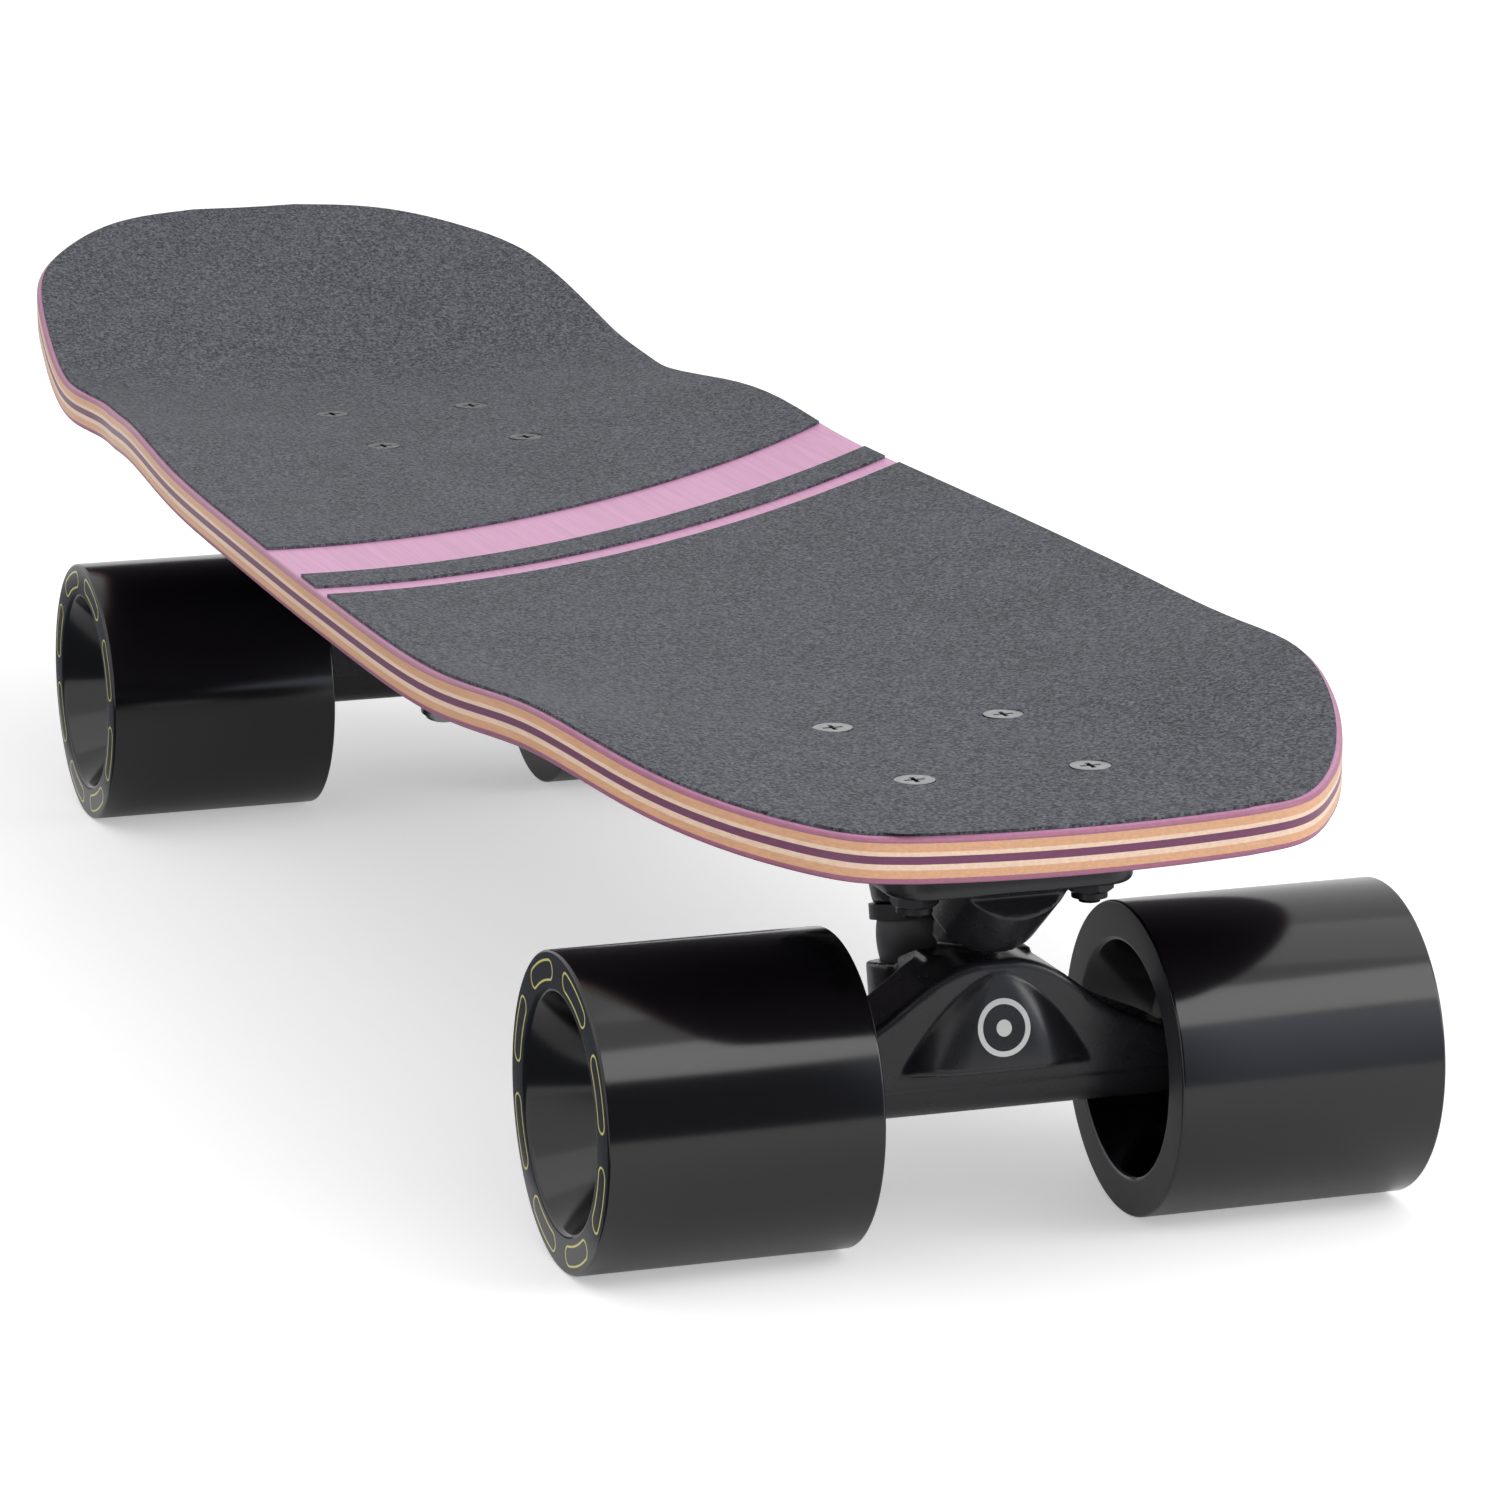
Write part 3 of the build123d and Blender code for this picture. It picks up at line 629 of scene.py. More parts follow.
@dataclass(frozen=True)
class EtchedCasting(Coated):
    """Powder-coated casting with a ring and dot, burnt through to bright metal by a laser."""

    centre: Triple = (0.0, 0.0, 0.0)
    outward: Triple = (1.0, 0.0, 0.0)
    ring_radius: float = 5.6
    line: float = 1.2
    dot_radius: float = 1.8
    etched: str = "#d0d0cf"
    reach: float = 8.0

    def surface(self, tree: Tree) -> dict[str, object]:
        """Measure how far each point is from the mark's axis, and bare the ring and the dot.

        Args:
            tree: The material's node tree.

        Returns:
            What goes into each socket of the shader.
        """
        sockets = super().surface(tree)
        centre = tuple(value * MM for value in self.centre)
        away = calculate(tree, "SUBTRACT", place_in(tree), centre, kind=VECTOR)
        height = calculate(tree, "DOT_PRODUCT", away, self.outward, kind=VECTOR, result="Value")
        rise = calculate(tree, "PROJECT", away, self.outward, kind=VECTOR)
        radius = calculate(tree, "DISTANCE", away, rise, kind=VECTOR, result="Value")
        ring = calculate(tree, "COMPARE", radius, self.ring_radius * MM, self.line / 2 * MM)
        dot = calculate(tree, "LESS_THAN", radius, self.dot_radius * MM)
        mark = calculate(tree, "MAXIMUM", ring, dot)
        outside = calculate(tree, "GREATER_THAN", height, -self.reach * MM)
        bared = calculate(tree, "MULTIPLY", mark, outside)
        sockets["Base Color"] = mixed(tree, bared, linear(self.colour), linear(self.etched))
        return sockets


@dataclass(frozen=True)
class ScrewHead(Finish):
    """Countersunk screws in plated steel, with a scuffed sheen: a painted reflection of the lamps
    in grey on the heads' tops, and dark below them in the recess.
    """

    # bright is a painted reflection of the lamps, laid on the heads' tops as colour.
    bright: str
    dark: str = "#111113"
    rim_height: float = 108.0
    scuff: float = 1.1
    sheen: Pair = (0.3, 0.55)
    metallic: float = 0.85

    def surface(self, tree: Tree) -> dict[str, object]:
        """Colour the metal by height: a painted reflection of the lamps, in grey, at the heads'
        tops, and dark below them.

        Args:
            tree: The material's node tree.

        Returns:
            What goes into each socket of the shader.
        """
        place = place_in(tree)
        height = add_node(tree, "ShaderNodeSeparateXYZ", {"Vector": place}).outputs["Z"]
        top = calculate(tree, "GREATER_THAN", height, self.rim_height * MM)
        scuffs = noise(tree, place, per_metre(self.scuff), detail=5.0)
        return {
            # Above the rim height the colour is the painted reflection of the lamps; below it,
            # dark.
            "Base Color": mixed(tree, top, linear(self.dark), linear(self.bright)),
            "Roughness": remapped(tree, scuffs, NOISE_RANGE, self.sheen),
            "Metallic": self.metallic,
        }


@dataclass(frozen=True)
class PouredUrethane(Finish):
    """Black urethane, poured and turned: a mirror-like tread, satin side faces, a pad print."""

    colour: str = "#0b0a0c"
    satin: str = "#2b2a2d"
    ink: str = "#d9d27c"
    specular: float = 0.6
    tread_roughness: float = 0.1
    satin_roughness: float = 0.36
    turning_line: float = 0.35
    lines_round: float = 9.0
    line_sheen: float = 0.09
    line_depth: float = 0.05
    relief: float = 0.06
    bars: int = 8
    bar_length: float = 17.0
    bar_height: float = 4.4
    ink_line: float = 0.5
    print_place: float = 68.0
    print_radius: float = 31.4

    def surface(self, tree: Tree) -> dict[str, object]:
        """Print outlined bars on the outer face, and turn fine lines into the tread.

        Args:
            tree: The material's node tree.

        Returns:
            What goes into each socket of the shader.
        """
        place = add_node(tree, "ShaderNodeUVMap", uv_map="turned").outputs["UV"]
        face = add_node(tree, "ShaderNodeAttribute", attribute_name="side_face").outputs["Fac"]
        skin = mixed(tree, face, linear(self.colour), linear(self.satin))
        scale = (self.lines_round, per_metre(self.turning_line), 1.0)
        lines = noise(tree, stretched(tree, place, scale), 1.0, detail=3.0)
        gloss = remapped(tree, face, (0.0, 1.0), (self.tread_roughness, self.satin_roughness))
        return {
            "Base Color": mixed(tree, self.inked(tree, place), skin, linear(self.ink)),
            "Roughness": calculate(tree, "MULTIPLY_ADD", lines, self.line_sheen, gloss),
            "Normal": bumped(tree, lines, self.relief, self.line_depth),
            "Specular IOR Level": self.specular,
        }

    def inked(self, tree: Tree, place: Socket) -> Socket:
        """Find the outlines of the bars.

        A bar's outline is where the distance to its middle line, less half its height, is near 0.

        Args:
            tree: The material's node tree.
            place: The turn round the axle, and the length along the wheel's section.

        Returns:
            An output that is 1 on the outlines.
        """
        split = add_node(tree, "ShaderNodeSeparateXYZ", {"Vector": place}).outputs
        pitch = 2 * math.pi * self.print_radius / self.bars
        part = calculate(tree, "FRACT", calculate(tree, "MULTIPLY", split["X"], float(self.bars)))
        along = calculate(tree, "ABSOLUTE", calculate(tree, "SUBTRACT", part, 0.5))
        half_line = (self.bar_length - self.bar_height) / 2
        past_end = calculate(tree, "MULTIPLY_ADD", along, pitch * MM, -half_line * MM)
        beyond = calculate(tree, "MAXIMUM", past_end, 0.0)
        across = calculate(tree, "SUBTRACT", split["Y"], self.print_place * MM)
        offset = add_node(tree, "ShaderNodeCombineXYZ", {"X": beyond, "Y": across}).outputs[0]
        distance = calculate(tree, "LENGTH", offset, kind=VECTOR, result="Value")
        half_height, half_ink = self.bar_height / 2 * MM, self.ink_line / 2 * MM
        return calculate(tree, "COMPARE", distance, half_height, half_ink)


GRIT = GripTape("silicon_carbide_grip_tape")
PINK_MAPLE = StainedMaple("pink_stained_maple", face="#dd9cc6", edge="#ab6a85")
TAN_MAPLE = StainedMaple("tan_stained_maple", face="#e0a878", edge="#e6b088")
CREAM_MAPLE = StainedMaple("natural_maple", face="#f3d9b8", edge="#f8d8be")
PURPLE_MAPLE = StainedMaple("purple_stained_maple", face="#6d3a62", edge="#7a4264")
PLUM_MAPLE = StainedMaple("plum_stained_maple", face="#35203a", edge="#ab6a85")
INNER_PLIES = (TAN_MAPLE, CREAM_MAPLE, PURPLE_MAPLE, CREAM_MAPLE, TAN_MAPLE)
PLY_FINISHES = (PINK_MAPLE, *INNER_PLIES, PLUM_MAPLE)
POWDER_COAT = Coated("satin_black_powder_coat", "#1f1f22", roughness=0.27, texture=0.9, height=0.03)
OXIDE = Coated(
    "black_oxide_steel", "#17171a", roughness=0.38, texture=0.6, height=0.02, metallic=0.3
)
RISER_PLASTIC = Coated("moulded_black_riser", "#161618", roughness=0.6, texture=0.7, height=0.05)
CUP_URETHANE = Coated("pivot_cup_urethane", "#131315", roughness=0.5, texture=0.8, height=0.03)
BUSHING_URETHANE = Coated(
    "poured_bushing_urethane", "#38383b", roughness=0.45, texture=1.2, height=0.03
)
SHIELD_RUBBER = Coated("bearing_seal_rubber", "#121214", roughness=0.55, texture=0.5, height=0.02)
ZINC = TurnedSteel("zinc_plated_steel", "#a9abad", roughness=0.34)
BEARING_STEEL = TurnedSteel("ground_bearing_steel", "#c8cacd", roughness=0.16)
# Both greys are a painted reflection of the lamps, lighter at the front, where the heads face the
# softboxes in front of the nose.
SCREWS = {
    End.FRONT: ScrewHead("scuffed_countersunk_screws", bright="#97999b"),
    End.REAR: ScrewHead("black_countersunk_screws", bright="#585a5d"),
}
WHEEL_URETHANE = PouredUrethane("turned_black_urethane")


def dress_solids(frame: dict, word: str, finishes: dict[Finish, tuple[str, ...]]) -> None:
    """Put finishes on solids that keep their shape.

    Args:
        frame: The loaded frame.
        word: The word that starts the solids' names.
        finishes: The rest of the solids' names, for each finish.
    """
    for finish, names in finishes.items():
        for name in names:
            finish.dress(frame["nodes"][f"{word}_{name}"])
            LOG.info("%s_%s: %s", word, name, finish.name)


# Deck


@dataclass
class Deck:
    """The pressed deck: seven plies with a sanded rim, grip tape, and what is screwed to it."""

    frame: dict
    side_points: tuple[Pair, ...] = (
        (355.5, 38.0), (352.5, 52.0), (336.0, 66.0), (305.0, 81.0), (274.5, 89.8),
        (244.0, 94.2), (184.0, 98.5), (94.0, 98.6), (-26.0, 95.4), (-116.0, 92.3),
        (-161.0, 88.1), (-191.0, 85.1), (-221.0, 86.9), (-266.0, 83.8), (-306.0, 75.9),
        (-330.0, 61.0), (-347.0, 42.0), (-355.5, 16.0),
    )
    top: float = 107.0
    half_width: float = 98.7
    concave_rise: float = 7.4
    front_flare: Triple = (6.5, 261.95, 35.0)
    rear_flare: Triple = (4.3, -128.95, 33.0)
    kick_place: float = -234.5
    kick_angle: float = 16.0
    kick_blend: float = 7.0
    ply_depths: tuple[float, ...] = (0.0, 1.3, 3.2, 4.15, 5.9, 7.15, 8.95, 10.5)
    rim_round: float = 1.3
    face_share: float = 0.28
    bolt_middles: Pair = (278.5, -150.5)
    bolt_spacing: Pair = (53.975, 41.275)
    sink_radii: Pair = (9.0, 14.0)
    sink_depth: float = 1.2
    steps: int = 10
    columns: int = 33
    rim_rings: int = 7

    def build(self) -> None:
        """Make the plies, and dress the grip and the deck's fasteners."""
        for number in range(len(PLY_FINISHES)):
            self.add_ply(number)
        dress_solids(self.frame, "grip_tape", {GRIT: ("rear", "middle", "front")})
        for end in End:
            fasteners = {SCREWS[end]: ("deck_bolts",), OXIDE: ("deck_nuts",)}
            dress_solids(self.frame, end.label, {**fasteners, RISER_PLASTIC: ("riser_pad",)})

    def side(self) -> tuple[Array, Array, Array]:
        """Trace one side of the deck from the nose to the tail.

        A centripetal curve runs through the side points: between two points it is the cubic
        that leaves and arrives along the neighbours' chords, each weighed by the square root
        of its length. Mirrored points past both ends make it meet the middle line squarely.

        Returns:
            Places along the board, half widths, and outward directions in plan.
        """
        points = np.array(self.side_points)
        mirror = np.array((1.0, -1.0))
        chain = np.vstack([points[:1] * mirror, points, points[-1:] * mirror])
        a, b, c, d = (chain[k : len(chain) - 3 + k, None, :] for k in range(4))
        before, span, after = (
            np.linalg.norm(q - p, axis=-1, keepdims=True) ** 0.5
            for p, q in ((a, b), (b, c), (c, d))
        )
        u = np.linspace(0, 1, self.steps, endpoint=False)[None, :, None]
        leave = c - b + span * ((b - a) / before - (c - a) / (before + span))
        arrive = c - b + span * ((d - c) / after - (d - b) / (span + after))
        cubic = (leave + arrive - 2 * (c - b)) * u**3 + (3 * (c - b) - 2 * leave - arrive) * u**2
        curve = np.vstack([(b + leave * u + cubic).reshape(-1, 2), points[-1:]])
        along = np.gradient(curve, axis=0)
        along[0], along[-1] = (0.0, 1.0), (0.0, -1.0)
        outward = np.stack([along[:, 1], -along[:, 0]], axis=1)
        outward /= np.linalg.norm(outward, axis=1, keepdims=True)
        return curve[:, 0], curve[:, 1], outward

    def height(self, x: Array, y: Array) -> Array:
        """The deck's top above the ground.

        It is level, then climbs past the kick along a softened bend; across the board it is a
        parabola, which two bell-shaped flares deepen over the wheels.

        Args:
            x: Places along the board.
            y: Places across it.

        Returns:
            The height at each place.
        """
        bell = [
            rise * np.exp(-0.5 * ((x - middle) / length) ** 2)
            for rise, middle, length in (self.front_flare, self.rear_flare)
        ]
        concave = (self.concave_rise + bell[0] + bell[1]) * (y / self.half_width) ** 2
        bend = np.logaddexp(0, (self.kick_place - x) / self.kick_blend) * self.kick_blend
        return self.top + math.tan(math.radians(self.kick_angle)) * bend + concave

    def rim_inset(self, depth: Array) -> Array:
        """How far the sanded rim stands in from the outline: a quarter circle at each face.

        Args:
            depth: Depths under the deck's top.

        Returns:
            The inset at each depth.
        """
        from_face = np.minimum(depth, self.ply_depths[-1] - depth)
        into = np.clip(self.rim_round - from_face, 0, self.rim_round)
        return self.rim_round - np.sqrt(self.rim_round**2 - into**2)

    def cut_share(self, depth: Array) -> Array:
        """How far the rim shows the wood's cut edge: 0 on the two faces, 1 past their rounds.

        Args:
            depth: Depths under the deck's top.

        Returns:
            A share from 0 to 1 for each depth.
        """
        from_face = np.minimum(depth, self.ply_depths[-1] - depth)
        return np.clip(from_face / (self.face_share * self.rim_round), 0, 1)

    def bolt_sinks(self, points: Array) -> Array:
        """Depth of the countersinks that keep the top ply out of the screws' cross recesses.

        The depth is whole up to an inner radius around each screw, and falls straight to
        nothing at an outer one, under the grip.

        Args:
            points: Points of the ply's top face.

        Returns:
            The depth at each point.
        """
        half_long, half_wide = (spacing / 2 for spacing in self.bolt_spacing)
        middles = np.array(self.bolt_middles)[:, None]
        along = np.abs(np.abs(points[:, 0] - middles) - half_long).min(axis=0)
        across = np.abs(np.abs(points[:, 1]) - half_wide)
        inner, outer = self.sink_radii
        return self.sink_depth * np.clip((outer - np.hypot(along, across)) / (outer - inner), 0, 1)

    def add_ply(self, number: int) -> None:
        """Make one ply as a closed shell, from its top sheet down its rim to its bottom sheet.

        The sheets are grids of cross lines between the two sides. The rim is the sheets' border,
        carried down in rings that step in and out with the sanded edge.

        Args:
            number: The ply, counted from the top.
        """
        x, half, outward = self.side()
        rows, columns = len(x), self.columns
        depth = np.linspace(*self.ply_depths[number : number + 2], self.rim_rings)
        inset = self.rim_inset(depth)
        share = np.linspace(-1, 1, columns)

        def sheet(level: float, narrower: float) -> Array:
            """One face of the ply.

            Args:
                level: Its depth under the deck's top.
                narrower: How far its outline is moved in.

            Returns:
                The face's points, row by row.
            """
            place = x - outward[:, 0] * narrower
            width = half - outward[:, 1] * narrower
            plan_x = np.repeat(place[:, None], columns, axis=1)
            plan_y = width[:, None] * share
            plan_z = self.height(plan_x, plan_y) - level
            return np.stack([plan_x, plan_y, plan_z], axis=-1).reshape(-1, 3)

        numbers = np.arange(rows * columns).reshape(rows, columns)
        border = np.concatenate(
            [numbers[0], numbers[1:, -1], numbers[-1, -2::-1], numbers[-2:0:-1, 0]]
        )
        plan = np.stack([np.repeat(x[:, None], columns, axis=1), half[:, None] * share], axis=-1)
        plan = plan.reshape(-1, 2)[border]
        away = np.repeat(outward[:, None, :], columns, axis=1)
        away[:, 0, 1] *= -1
        away[0], away[-1] = (1.0, 0.0), (-1.0, 0.0)
        away = away.reshape(-1, 2)[border]
        ring_plan = plan[None] - away[None] * inset[1:-1, None, None]
        ring_height = self.height(ring_plan[..., 0], ring_plan[..., 1]) - depth[1:-1, None]
        rings = np.concatenate([ring_plan, ring_height[..., None]], axis=-1).reshape(-1, 3)

        top, bottom = sheet(depth[0], inset[0]), sheet(depth[-1], inset[-1])
        if number == 0:
            top[:, 2] -= self.bolt_sinks(top)
        points = np.vstack([top, rings, bottom])
        below = len(top) + len(rings)
        between = np.arange(len(top), below).reshape(-1, len(border))
        loop = np.vstack([border, between, below + border])
        ahead = np.roll(loop, -1, axis=1)
        bands = np.stack([loop[:-1], loop[1:], ahead[1:], ahead[:-1]], axis=-1).reshape(-1, 4)
        flat = grid_quads(rows, columns)
        quads = np.vstack([flat[:, ::-1], bands, flat + below])
        name = f"ply_{number + 1}"
        piece = new_piece(name, points, facing_out(points, quads))
        cut = self.cut_share(depth)
        face_cut = np.zeros((2, len(top)))
        face_cut[0, border], face_cut[1, border] = cut[0], cut[-1]
        values = np.concatenate([face_cut[0], np.repeat(cut[1:-1], len(border)), face_cut[1]])
        edge = piece.data.attributes.new("cut_edge", "FLOAT", "POINT")
        edge.data.foreach_set("value", values.astype(np.float32))
        PLY_FINISHES[number].dress(piece)
        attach(piece, "deck")
        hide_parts(f"veneer_{number + 1}")
        LOG.info("%s: %d points, %s", name, len(points), PLY_FINISHES[number].name)


# Trucks and wheels


AXLES = {End.FRONT: 290.95, End.REAR: -162.95}


@dataclass(frozen=True)
class BushingForm:
    """A bushing: its two ends along the kingpin from the hanger's seat, and its radii."""

    node: str
    ends: Pair
    seat_radius: float
    washer_radius: float
    bulge: float


@dataclass
class Truck:
    """One truck: castings, kingpin with its bushings, axle and small parts."""

    frame: dict
    end: End
    axle_x: float
    seat: Pair = (-28.0, 51.3)
    kingpin_lean: float = 12.0
    bushings: tuple[BushingForm, ...] = (
        BushingForm("board_side_bushing", (3.0, 16.0), 11.9, 11.9, 0.9),
        BushingForm("road_side_bushing", (-3.0, -14.0), 10.9, 9.3, 0.7),
    )
    bushing_bore: float = 5.0
    bushing_rings: int = 25
    bushing_segments: int = 96
    end_round: float = 0.5
    end_share: float = 0.08
    lip_height: float = 2.4
    web_foot: Pair = (9.0, 33.75)
    web_lean: float = 7.3
    panel_span: Pair = (5.4, 28.8)
    panel_half_width: float = 23.2
    panel_fullness: float = 0.58
    panel_rise: float = 7.5
    panel_skin: float = 1.0
    panel_ramps: Triple = (0.6, 0.16, 1.15)
    mark_height: float = 17.5
    voxel: float = 0.62
    relax_passes: int = 7

    def build(self) -> None:
        """Make the castings and the bushings, and dress every solid that stays."""
        zinc = ("kingpin", "kingpin_nut", "axle", "axle_nuts", "speed_washers", "bearing_spacers")
        soft_and_black = {CUP_URETHANE: ("pivot_cup",), OXIDE: ("cup_washers",)}
        bright = {ZINC: zinc, BEARING_STEEL: ("inner_races",)}
        dress_solids(self.frame, self.end.label, {**soft_and_black, **bright})
        self.add_casting("baseplate", "deck", POWDER_COAT)
        self.add_casting("hanger", f"{self.end.label}_truck", self.hanger_finish())
        for form in self.bushings:
            self.add_bushing(form)

    def hanger_finish(self) -> EtchedCasting:
        """The powder coat with its etched mark on the hanger's outer panel.

        Returns:
            The hanger's finish.
        """
        foot, along, outward = self.web_face()
        centre = foot + along * self.mark_height + outward * self.panel_rise
        coat = {**asdict(POWDER_COAT), "name": f"{self.end.label}_hanger_powder_coat"}
        return EtchedCasting(**coat, centre=tuple(centre), outward=tuple(outward))

    def web_face(self) -> tuple[Array, Array, Array]:
        """Find the hanger's outer face.

        Returns:
            The middle of its foot, the way up it, and the way out of it.
        """
        lean = math.radians(self.web_lean)
        foot = np.array((self.axle_x + self.end.value * self.web_foot[0], 0.0, self.web_foot[1]))
        along = np.array((self.end.value * math.sin(lean), 0.0, math.cos(lean)))
        outward = np.array((self.end.value * math.cos(lean), 0.0, -math.sin(lean)))
        return foot, along, outward

    def swell_panel(self, piece: bpy.types.Object) -> None:
        """Raise the panel on the hanger's outer face into a soft pillow.

        Up the face, t runs from 0 at the panel's foot to 1 at its top, and the panel's half
        width is its width at the foot times (1 - t) to the power of its fullness. The face
        rises by the panel's rise times three ramps, in from the sides, the foot and the top:
        each is 1 - (1 - s) squared, with s the way in over the ramp's length.

        Args:
            piece: The hanger's casting.
        """

        def ramp(way: Array) -> Array:
            """A rounded rise from 0 to 1."""
            return 1 - (1 - np.clip(way, 0, 1)) ** 2

        foot, along, outward = self.web_face()
        points = np.empty(3 * len(piece.data.vertices), np.float32)
        piece.data.vertices.foreach_get("co", points)
        points = points.reshape(-1, 3).astype(float) / MM
        low, high = self.panel_span
        t = ((points - foot) @ along - low) / (high - low)
        height = (points - foot) @ outward
        half = self.panel_half_width * np.clip(1 - t, 1e-6, 1) ** self.panel_fullness
        inside = 1 - np.abs(points[:, 1]) / half
        from_side, from_foot, from_top = self.panel_ramps
        lift = ramp(inside / from_side) * ramp(t / from_foot) * ramp((1 - t) / from_top)
        swell = self.panel_rise * lift
        on_panel = (height > -self.panel_skin) & (inside > 0) & (t > 0) & (t < 1)
        points += outward * np.where(on_panel, swell - height, 0.0)[:, None]
        piece.data.vertices.foreach_set("co", (points * MM).astype(np.float32).ravel())
        piece.data.update()

    def add_casting(self, node: str, body: str, finish: Finish) -> None:
        """Rebuild a casting with soft edges.

        Args:
            node: The casting's node, without the end's word.
            body: The body that it moves with.
            finish: Its finish.
        """
        word = self.end.label
        solid = self.frame["nodes"][f"{word}_{node}"]
        piece = softened(f"{word}_{node}_casting", solid, self.voxel, self.relax_passes)
        if node == "hanger":
            self.swell_panel(piece)
        finish.dress(piece)
        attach(piece, body)
        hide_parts(f"{word}_{node}")
        LOG.info("%s: %d points, %s", piece.name, len(piece.data.vertices), finish.name)

    def add_bushing(self, form: BushingForm) -> None:
        """Make a bushing that bulges between its seat and its washer, and leans with the hanger.

        Its radius goes straight from the seat's to the washer's, plus the bulge times the sine
        of the way between them, less a quarter circle at each end.

        Args:
            form: The bushing's form.
        """
        lean = math.radians(self.kingpin_lean)
        axis = np.array((-math.sin(lean) * self.end.value, 0.0, math.cos(lean)))
        origin = np.array((self.axle_x + self.end.value * self.seat[0], 0.0, self.seat[1]))
        seat, washer = form.ends
        way = np.linspace(0, 1, self.bushing_rings)
        into = np.clip(1 - np.minimum(way, 1 - way) / self.end_share, 0, 1)
        radius = form.seat_radius + (form.washer_radius - form.seat_radius) * way
        radius += form.bulge * np.sin(np.pi * way) - self.end_round * (1 - np.sqrt(1 - into**2))
        outside = np.stack([radius, seat + (washer - seat) * way], axis=1)
        bore = np.array([(self.bushing_bore, washer), (self.bushing_bore, seat)])
        name = f"{self.end.label}_{form.node}_urethane"
        profile = np.vstack([outside, bore])
        piece = revolved(name, profile, origin, axis, self.bushing_segments)
        BUSHING_URETHANE.dress(piece)
        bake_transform(piece)
        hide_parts(f"{self.end.label}_{form.node}")
        LOG.info("%s: %d points, %s", name, len(piece.data.vertices), BUSHING_URETHANE.name)


@dataclass
class Wheel:
    """One wheel with the bearing parts that turn with it."""

    frame: dict
    end: End
    side: Side
    axle_x: float
    axle_z: float = 36.0
    middle_y: float = 66.5
    radius: float = 36.0
    half_width: float = 31.75
    edge_round: float = 0.7
    mouth_radius: float = 27.0
    mouth_round: float = 1.5
    floor_radius: float = 20.0
    floor_round: float = 5.0
    hub_half: float = 13.0
    bearing_radius: float = 11.02
    spacer_half: float = 5.0
    shoulder_radius: float = 9.6
    seat_rounds: Triple = (0.3, 0.1, 0.2)
    arc_points: int = 9
    face_skin: float = 0.05
    outer_satin: float = 0.4
    segments: int = 224

    def build(self) -> None:
        """Turn the wheel, print its face, and dress its bearings."""
        word = f"{self.end.label}_{self.side.label}"
        steel = {BEARING_STEEL: ("outer_races", "ball_sets")}
        dress_solids(self.frame, word, {**steel, SHIELD_RUBBER: ("bearing_shields",)})
        profile = self.profile()
        axis = np.array((0.0, float(self.side.value), 0.0))
        origin = np.array((self.axle_x, self.side.value * self.middle_y, self.axle_z))
        piece = revolved(f"{word}_wheel_urethane", profile, origin, axis, self.segments)
        radius, place = profile.T
        on_face = (np.abs(place) > self.half_width - self.face_skin) & (radius > self.mouth_radius)
        ground = np.where(place > 0, self.outer_satin, 1.0) * on_face
        values = np.repeat(ground.astype(np.float32), self.segments)
        piece.data.attributes.new("side_face", "FLOAT", "POINT").data.foreach_set("value", values)
        WHEEL_URETHANE.dress(piece)
        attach(piece, f"{word}_wheel")
        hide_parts(f"{word}_wheel")
        LOG.info("%s: %d points, %s", piece.name, len(piece.data.vertices), WHEEL_URETHANE.name)

    def profile(self) -> Array:
        """The wheel's section: tread, side faces, dished recesses and bearing seats.

        Returns:
            Radius and place along the axle of each point, outwards positive.
        """
        outer = [
            (self.radius, self.half_width, self.edge_round),
            (self.mouth_radius, self.half_width, self.mouth_round),
            (self.floor_radius, self.hub_half, self.floor_round),
            (self.bearing_radius, self.hub_half, self.seat_rounds[0]),
            (self.bearing_radius, self.spacer_half, self.seat_rounds[1]),
            (self.shoulder_radius, self.spacer_half, self.seat_rounds[2]),
        ]
        inner = [(radius, -place, turn) for radius, place, turn in reversed(outer)]
        corners = np.array(inner[-1:] + outer + inner[:-1])
        return rounded_outline(corners[:, :2], corners[:, 2], self.arc_points)


# Studio


ONE_QUAD = np.array([[0, 1, 2, 3]])


def standing(across: Array, up: Array, back: Array, place: Triple) -> Matrix:
    """Turn and place an object by its own directions.

    Args:
        across: Its X direction.
        up: Its Y direction.
        back: Its Z direction, away from where it looks.
        place: Where it stands.

    Returns:
        The object's matrix.
    """
    turned = np.eye(4)
    turned[:3] = np.column_stack([across, up, back, np.array(place) * MM])
    return Matrix(turned.tolist())


@dataclass(frozen=True)
class Softbox:
    """A soft lamp: where it hangs, its width and height, and its power in watts."""

    name: str
    place: Triple
    size: Pair
    watts: float


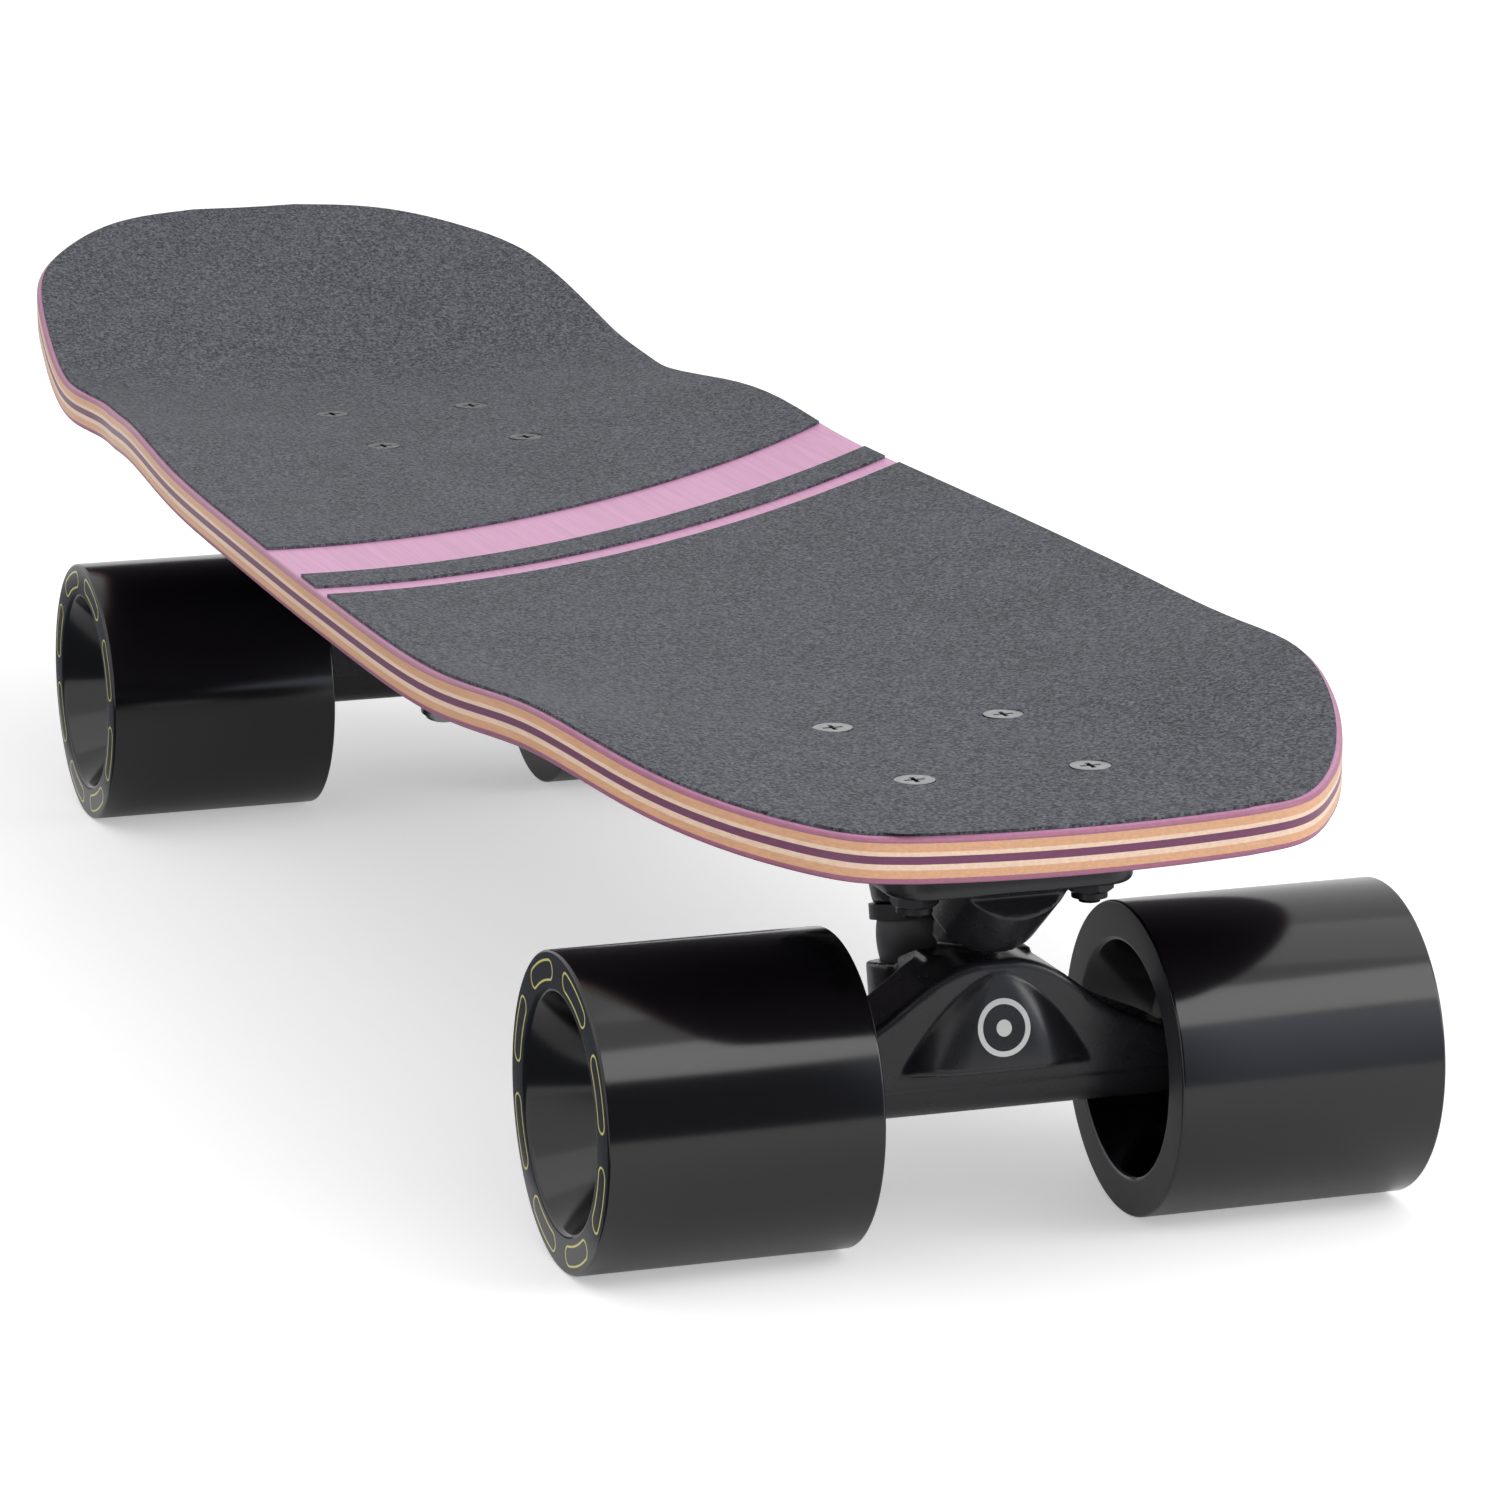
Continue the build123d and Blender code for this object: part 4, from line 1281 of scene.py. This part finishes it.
@dataclass
class Studio:
    """White floor, soft lights, and the camera where the photographer stood."""

    camera_place: Triple = (1644.4, -511.2, 444.3)
    yaw: float = 0.326
    pitch: float = 0.227
    roll: float = -0.004
    focal_pixels: float = 6701.4
    image_pixels: float = 1500.0
    sensor: float = 36.0
    clip: Pair = (50.0, 200000.0)
    floor_reach: float = 30000.0
    paper: str = "#f4f4f5"
    lamp_target: Triple = (60.0, 0.0, 60.0)
    daylight: float = 0.7
    floor_lift: float = 0.4
    mirror_share: float = 0.3
    card_place: float = 600.0
    card_span: Pair = (-260.0, 420.0)
    card_top: float = 240.0
    card_fade: Pair = (80.0, 150.0)
    card_dark: float = 0.14
    card_tint: str = "#e4ecff"
    card_greys: Pair = (0.7, 1.45)
    floor_card: tuple[Pair, Pair] = ((-520.0, -620.0), (420.0, -112.0))
    floor_card_height: float = 1.0
    softboxes: tuple[Softbox, ...] = (
        Softbox("right_softbox", (500.0, -1400.0, 2000.0), (1800.0, 1800.0), 5.0),
        Softbox("left_softbox", (215.0, 940.0, 1870.0), (1200.0, 1200.0), 2.4),
        Softbox("front_softbox", (1450.0, 720.0, 1370.0), (1600.0, 750.0), 7.0),
        Softbox("nose_softbox", (1600.0, 1900.0, 900.0), (1200.0, 1200.0), 14.0),
    )

    def build(self) -> None:
        """Set the camera, the world, the floor, the dark cards and the lights."""
        scene = bpy.context.scene
        scene.view_settings.view_transform = "Standard"
        self.add_camera(scene)
        self.add_world(scene)
        self.add_floor()
        self.add_front_card()
        self.add_floor_card()
        for softbox in self.softboxes:
            self.add_lamp(softbox)

    def add_camera(self, scene: bpy.types.Scene) -> None:
        """Place the camera from its yaw, pitch and roll about the board's own axes.

        Args:
            scene: The scene that it shoots.
        """
        flat = math.cos(self.pitch)
        ahead = np.array(
            (-math.cos(self.yaw) * flat, math.sin(self.yaw) * flat, -math.sin(self.pitch))
        )
        level = np.cross(ahead, (0.0, 0.0, 1.0))
        level /= np.linalg.norm(level)
        upright = np.cross(level, ahead)
        right = math.cos(self.roll) * level + math.sin(self.roll) * upright
        up = math.cos(self.roll) * upright - math.sin(self.roll) * level
        data = bpy.data.cameras.new("photographer")
        data.sensor_width = self.sensor
        data.lens = self.focal_pixels / self.image_pixels * self.sensor
        data.clip_start, data.clip_end = (value * MM for value in self.clip)
        camera = bpy.data.objects.new("photographer", data)
        camera.matrix_world = standing(right, up, -ahead, self.camera_place)
        scene.collection.objects.link(camera)
        scene.camera = camera

    def seen(self, tree: Tree) -> Socket:
        """Tell the rays that see a surface, straight or in a mirror, from those that light it.

        Args:
            tree: The material's or the world's node tree.

        Returns:
            An output that is 1 on camera, glossy and transmission rays.
        """
        path = add_node(tree, "ShaderNodeLightPath").outputs
        direct = calculate(tree, "MAXIMUM", path["Is Camera Ray"], path["Is Glossy Ray"])
        return calculate(tree, "MAXIMUM", direct, path["Is Transmission Ray"])

    def add_world(self, scene: bpy.types.Scene) -> None:
        """Light softly from all round, and show white to the eye and in reflections.

        Args:
            scene: The scene that it lights.
        """
        world = bpy.data.worlds.new("white_studio")
        world.use_nodes = True
        tree = world.node_tree
        tree.nodes.clear()
        shaders = {0: self.seen(tree)}
        for socket, strength in ((1, self.daylight), (2, 1.0)):
            light = add_node(tree, "ShaderNodeBackground", {"Color": WHITE, "Strength": strength})
            shaders[socket] = light.outputs[0]
        both = add_node(tree, "ShaderNodeMixShader", shaders)
        add_node(tree, "ShaderNodeOutputWorld", {"Surface": both.outputs[0]})
        scene.world = world

    def add_floor(self) -> None:
        """Lay a white sweep that keeps the board's soft shadow."""
        signs = np.array([(-1, -1, 0), (1, -1, 0), (1, 1, 0), (-1, 1, 0)])
        floor = new_piece("floor", signs * self.floor_reach, ONE_QUAD)
        paper = new_material("white_paper_sweep")
        tree = paper.node_tree
        matt = add_node(tree, "ShaderNodeBsdfDiffuse", {"Color": linear(self.paper)}).outputs[0]
        lift = add_node(tree, "ShaderNodeEmission", {"Color": WHITE, "Strength": self.floor_lift})
        lifted = add_node(tree, "ShaderNodeAddShader", {0: matt, 1: lift.outputs[0]}).outputs[0]
        # Mirrors show less of the lift than the eye, so that they keep the shadow under the wheels.
        direct = add_node(tree, "ShaderNodeLightPath").outputs["Is Camera Ray"]
        amount = calculate(tree, "MULTIPLY_ADD", direct, 1 - self.mirror_share, self.mirror_share)
        share = calculate(tree, "MULTIPLY", amount, self.seen(tree))
        both = add_node(tree, "ShaderNodeMixShader", {0: share, 1: matt, 2: lifted})
        add_node(tree, "ShaderNodeOutputMaterial", {"Surface": both.outputs[0]})
        floor.data.materials.append(paper)

    def add_card(self, name: str, corners: Array) -> bpy.types.Node:
        """Set up a dark card that only mirrors see.

        Args:
            name: The card's name.
            corners: Its four corners.

        Returns:
            The emission node that gives the card its brightness.
        """
        card = new_piece(name, corners, ONE_QUAD)
        cloth = new_material(f"{name}_cloth")
        tree = cloth.node_tree
        sockets = {"Color": linear(self.card_tint), "Strength": self.card_dark}
        glow = add_node(tree, "ShaderNodeEmission", sockets)
        add_node(tree, "ShaderNodeOutputMaterial", {"Surface": glow.outputs[0]})
        card.data.materials.append(cloth)
        card.visible_camera = False
        card.visible_diffuse = False
        card.visible_shadow = False
        return glow

    def add_floor_card(self) -> None:
        """Lay a dark card along the board's right side, for the wheels' outer faces to show."""
        (x0, y0), (x1, y1) = self.floor_card
        z = self.floor_card_height
        self.add_card("floor_card", np.array([(x0, y0, z), (x1, y0, z), (x1, y1, z), (x0, y1, z)]))

    def add_front_card(self) -> None:
        """Stand a dark card past the table's end in front of the nose.

        Gloss black pieces show it as the dark band between the white table and the softbox.
        Towards the rider's left the card turns to a bluish grey, lighter at its top.
        """
        low, high = self.card_span
        corners = np.array([(low, 0.0), (high, 0.0), (high, self.card_top), (low, self.card_top)])
        points = np.column_stack([np.full(len(corners), self.card_place), corners])
        glow = self.add_card("front_card", points)
        tree = glow.id_data
        split = add_node(tree, "ShaderNodeSeparateXYZ", {"Vector": place_in(tree)}).outputs
        grey = remapped(tree, split["Z"], (0.0, self.card_top * MM), self.card_greys)
        fade = tuple(value * MM for value in self.card_fade)
        strength = remapped(tree, split["Y"], fade, (self.card_dark, grey))
        tree.links.new(strength, glow.inputs["Strength"])

    def add_lamp(self, softbox: Softbox) -> None:
        """Hang a softbox that faces the board.

        Args:
            softbox: The lamp.
        """
        data = bpy.data.lights.new(softbox.name, "AREA")
        data.shape = "RECTANGLE"
        data.size, data.size_y = (value * MM for value in softbox.size)
        data.energy = softbox.watts
        lamp = bpy.data.objects.new(softbox.name, data)
        back = np.array(softbox.place) - np.array(self.lamp_target)
        back /= np.linalg.norm(back)
        across = np.cross((0.0, 0.0, 1.0), back)
        across /= np.linalg.norm(across)
        lamp.matrix_world = standing(across, np.cross(back, across), back, softbox.place)
        bpy.context.scene.collection.objects.link(lamp)


def main() -> None:
    """Load the frame, dress every piece and report it."""
    logging.basicConfig(level=logging.INFO, format="%(name)s: %(message)s")
    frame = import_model()
    Deck(frame).build()
    for end, axle_x in AXLES.items():
        Truck(frame, end, axle_x).build()
        for side in Side:
            Wheel(frame, end, side, axle_x).build()
    Studio().build()


if __name__ == "__main__":
    main()
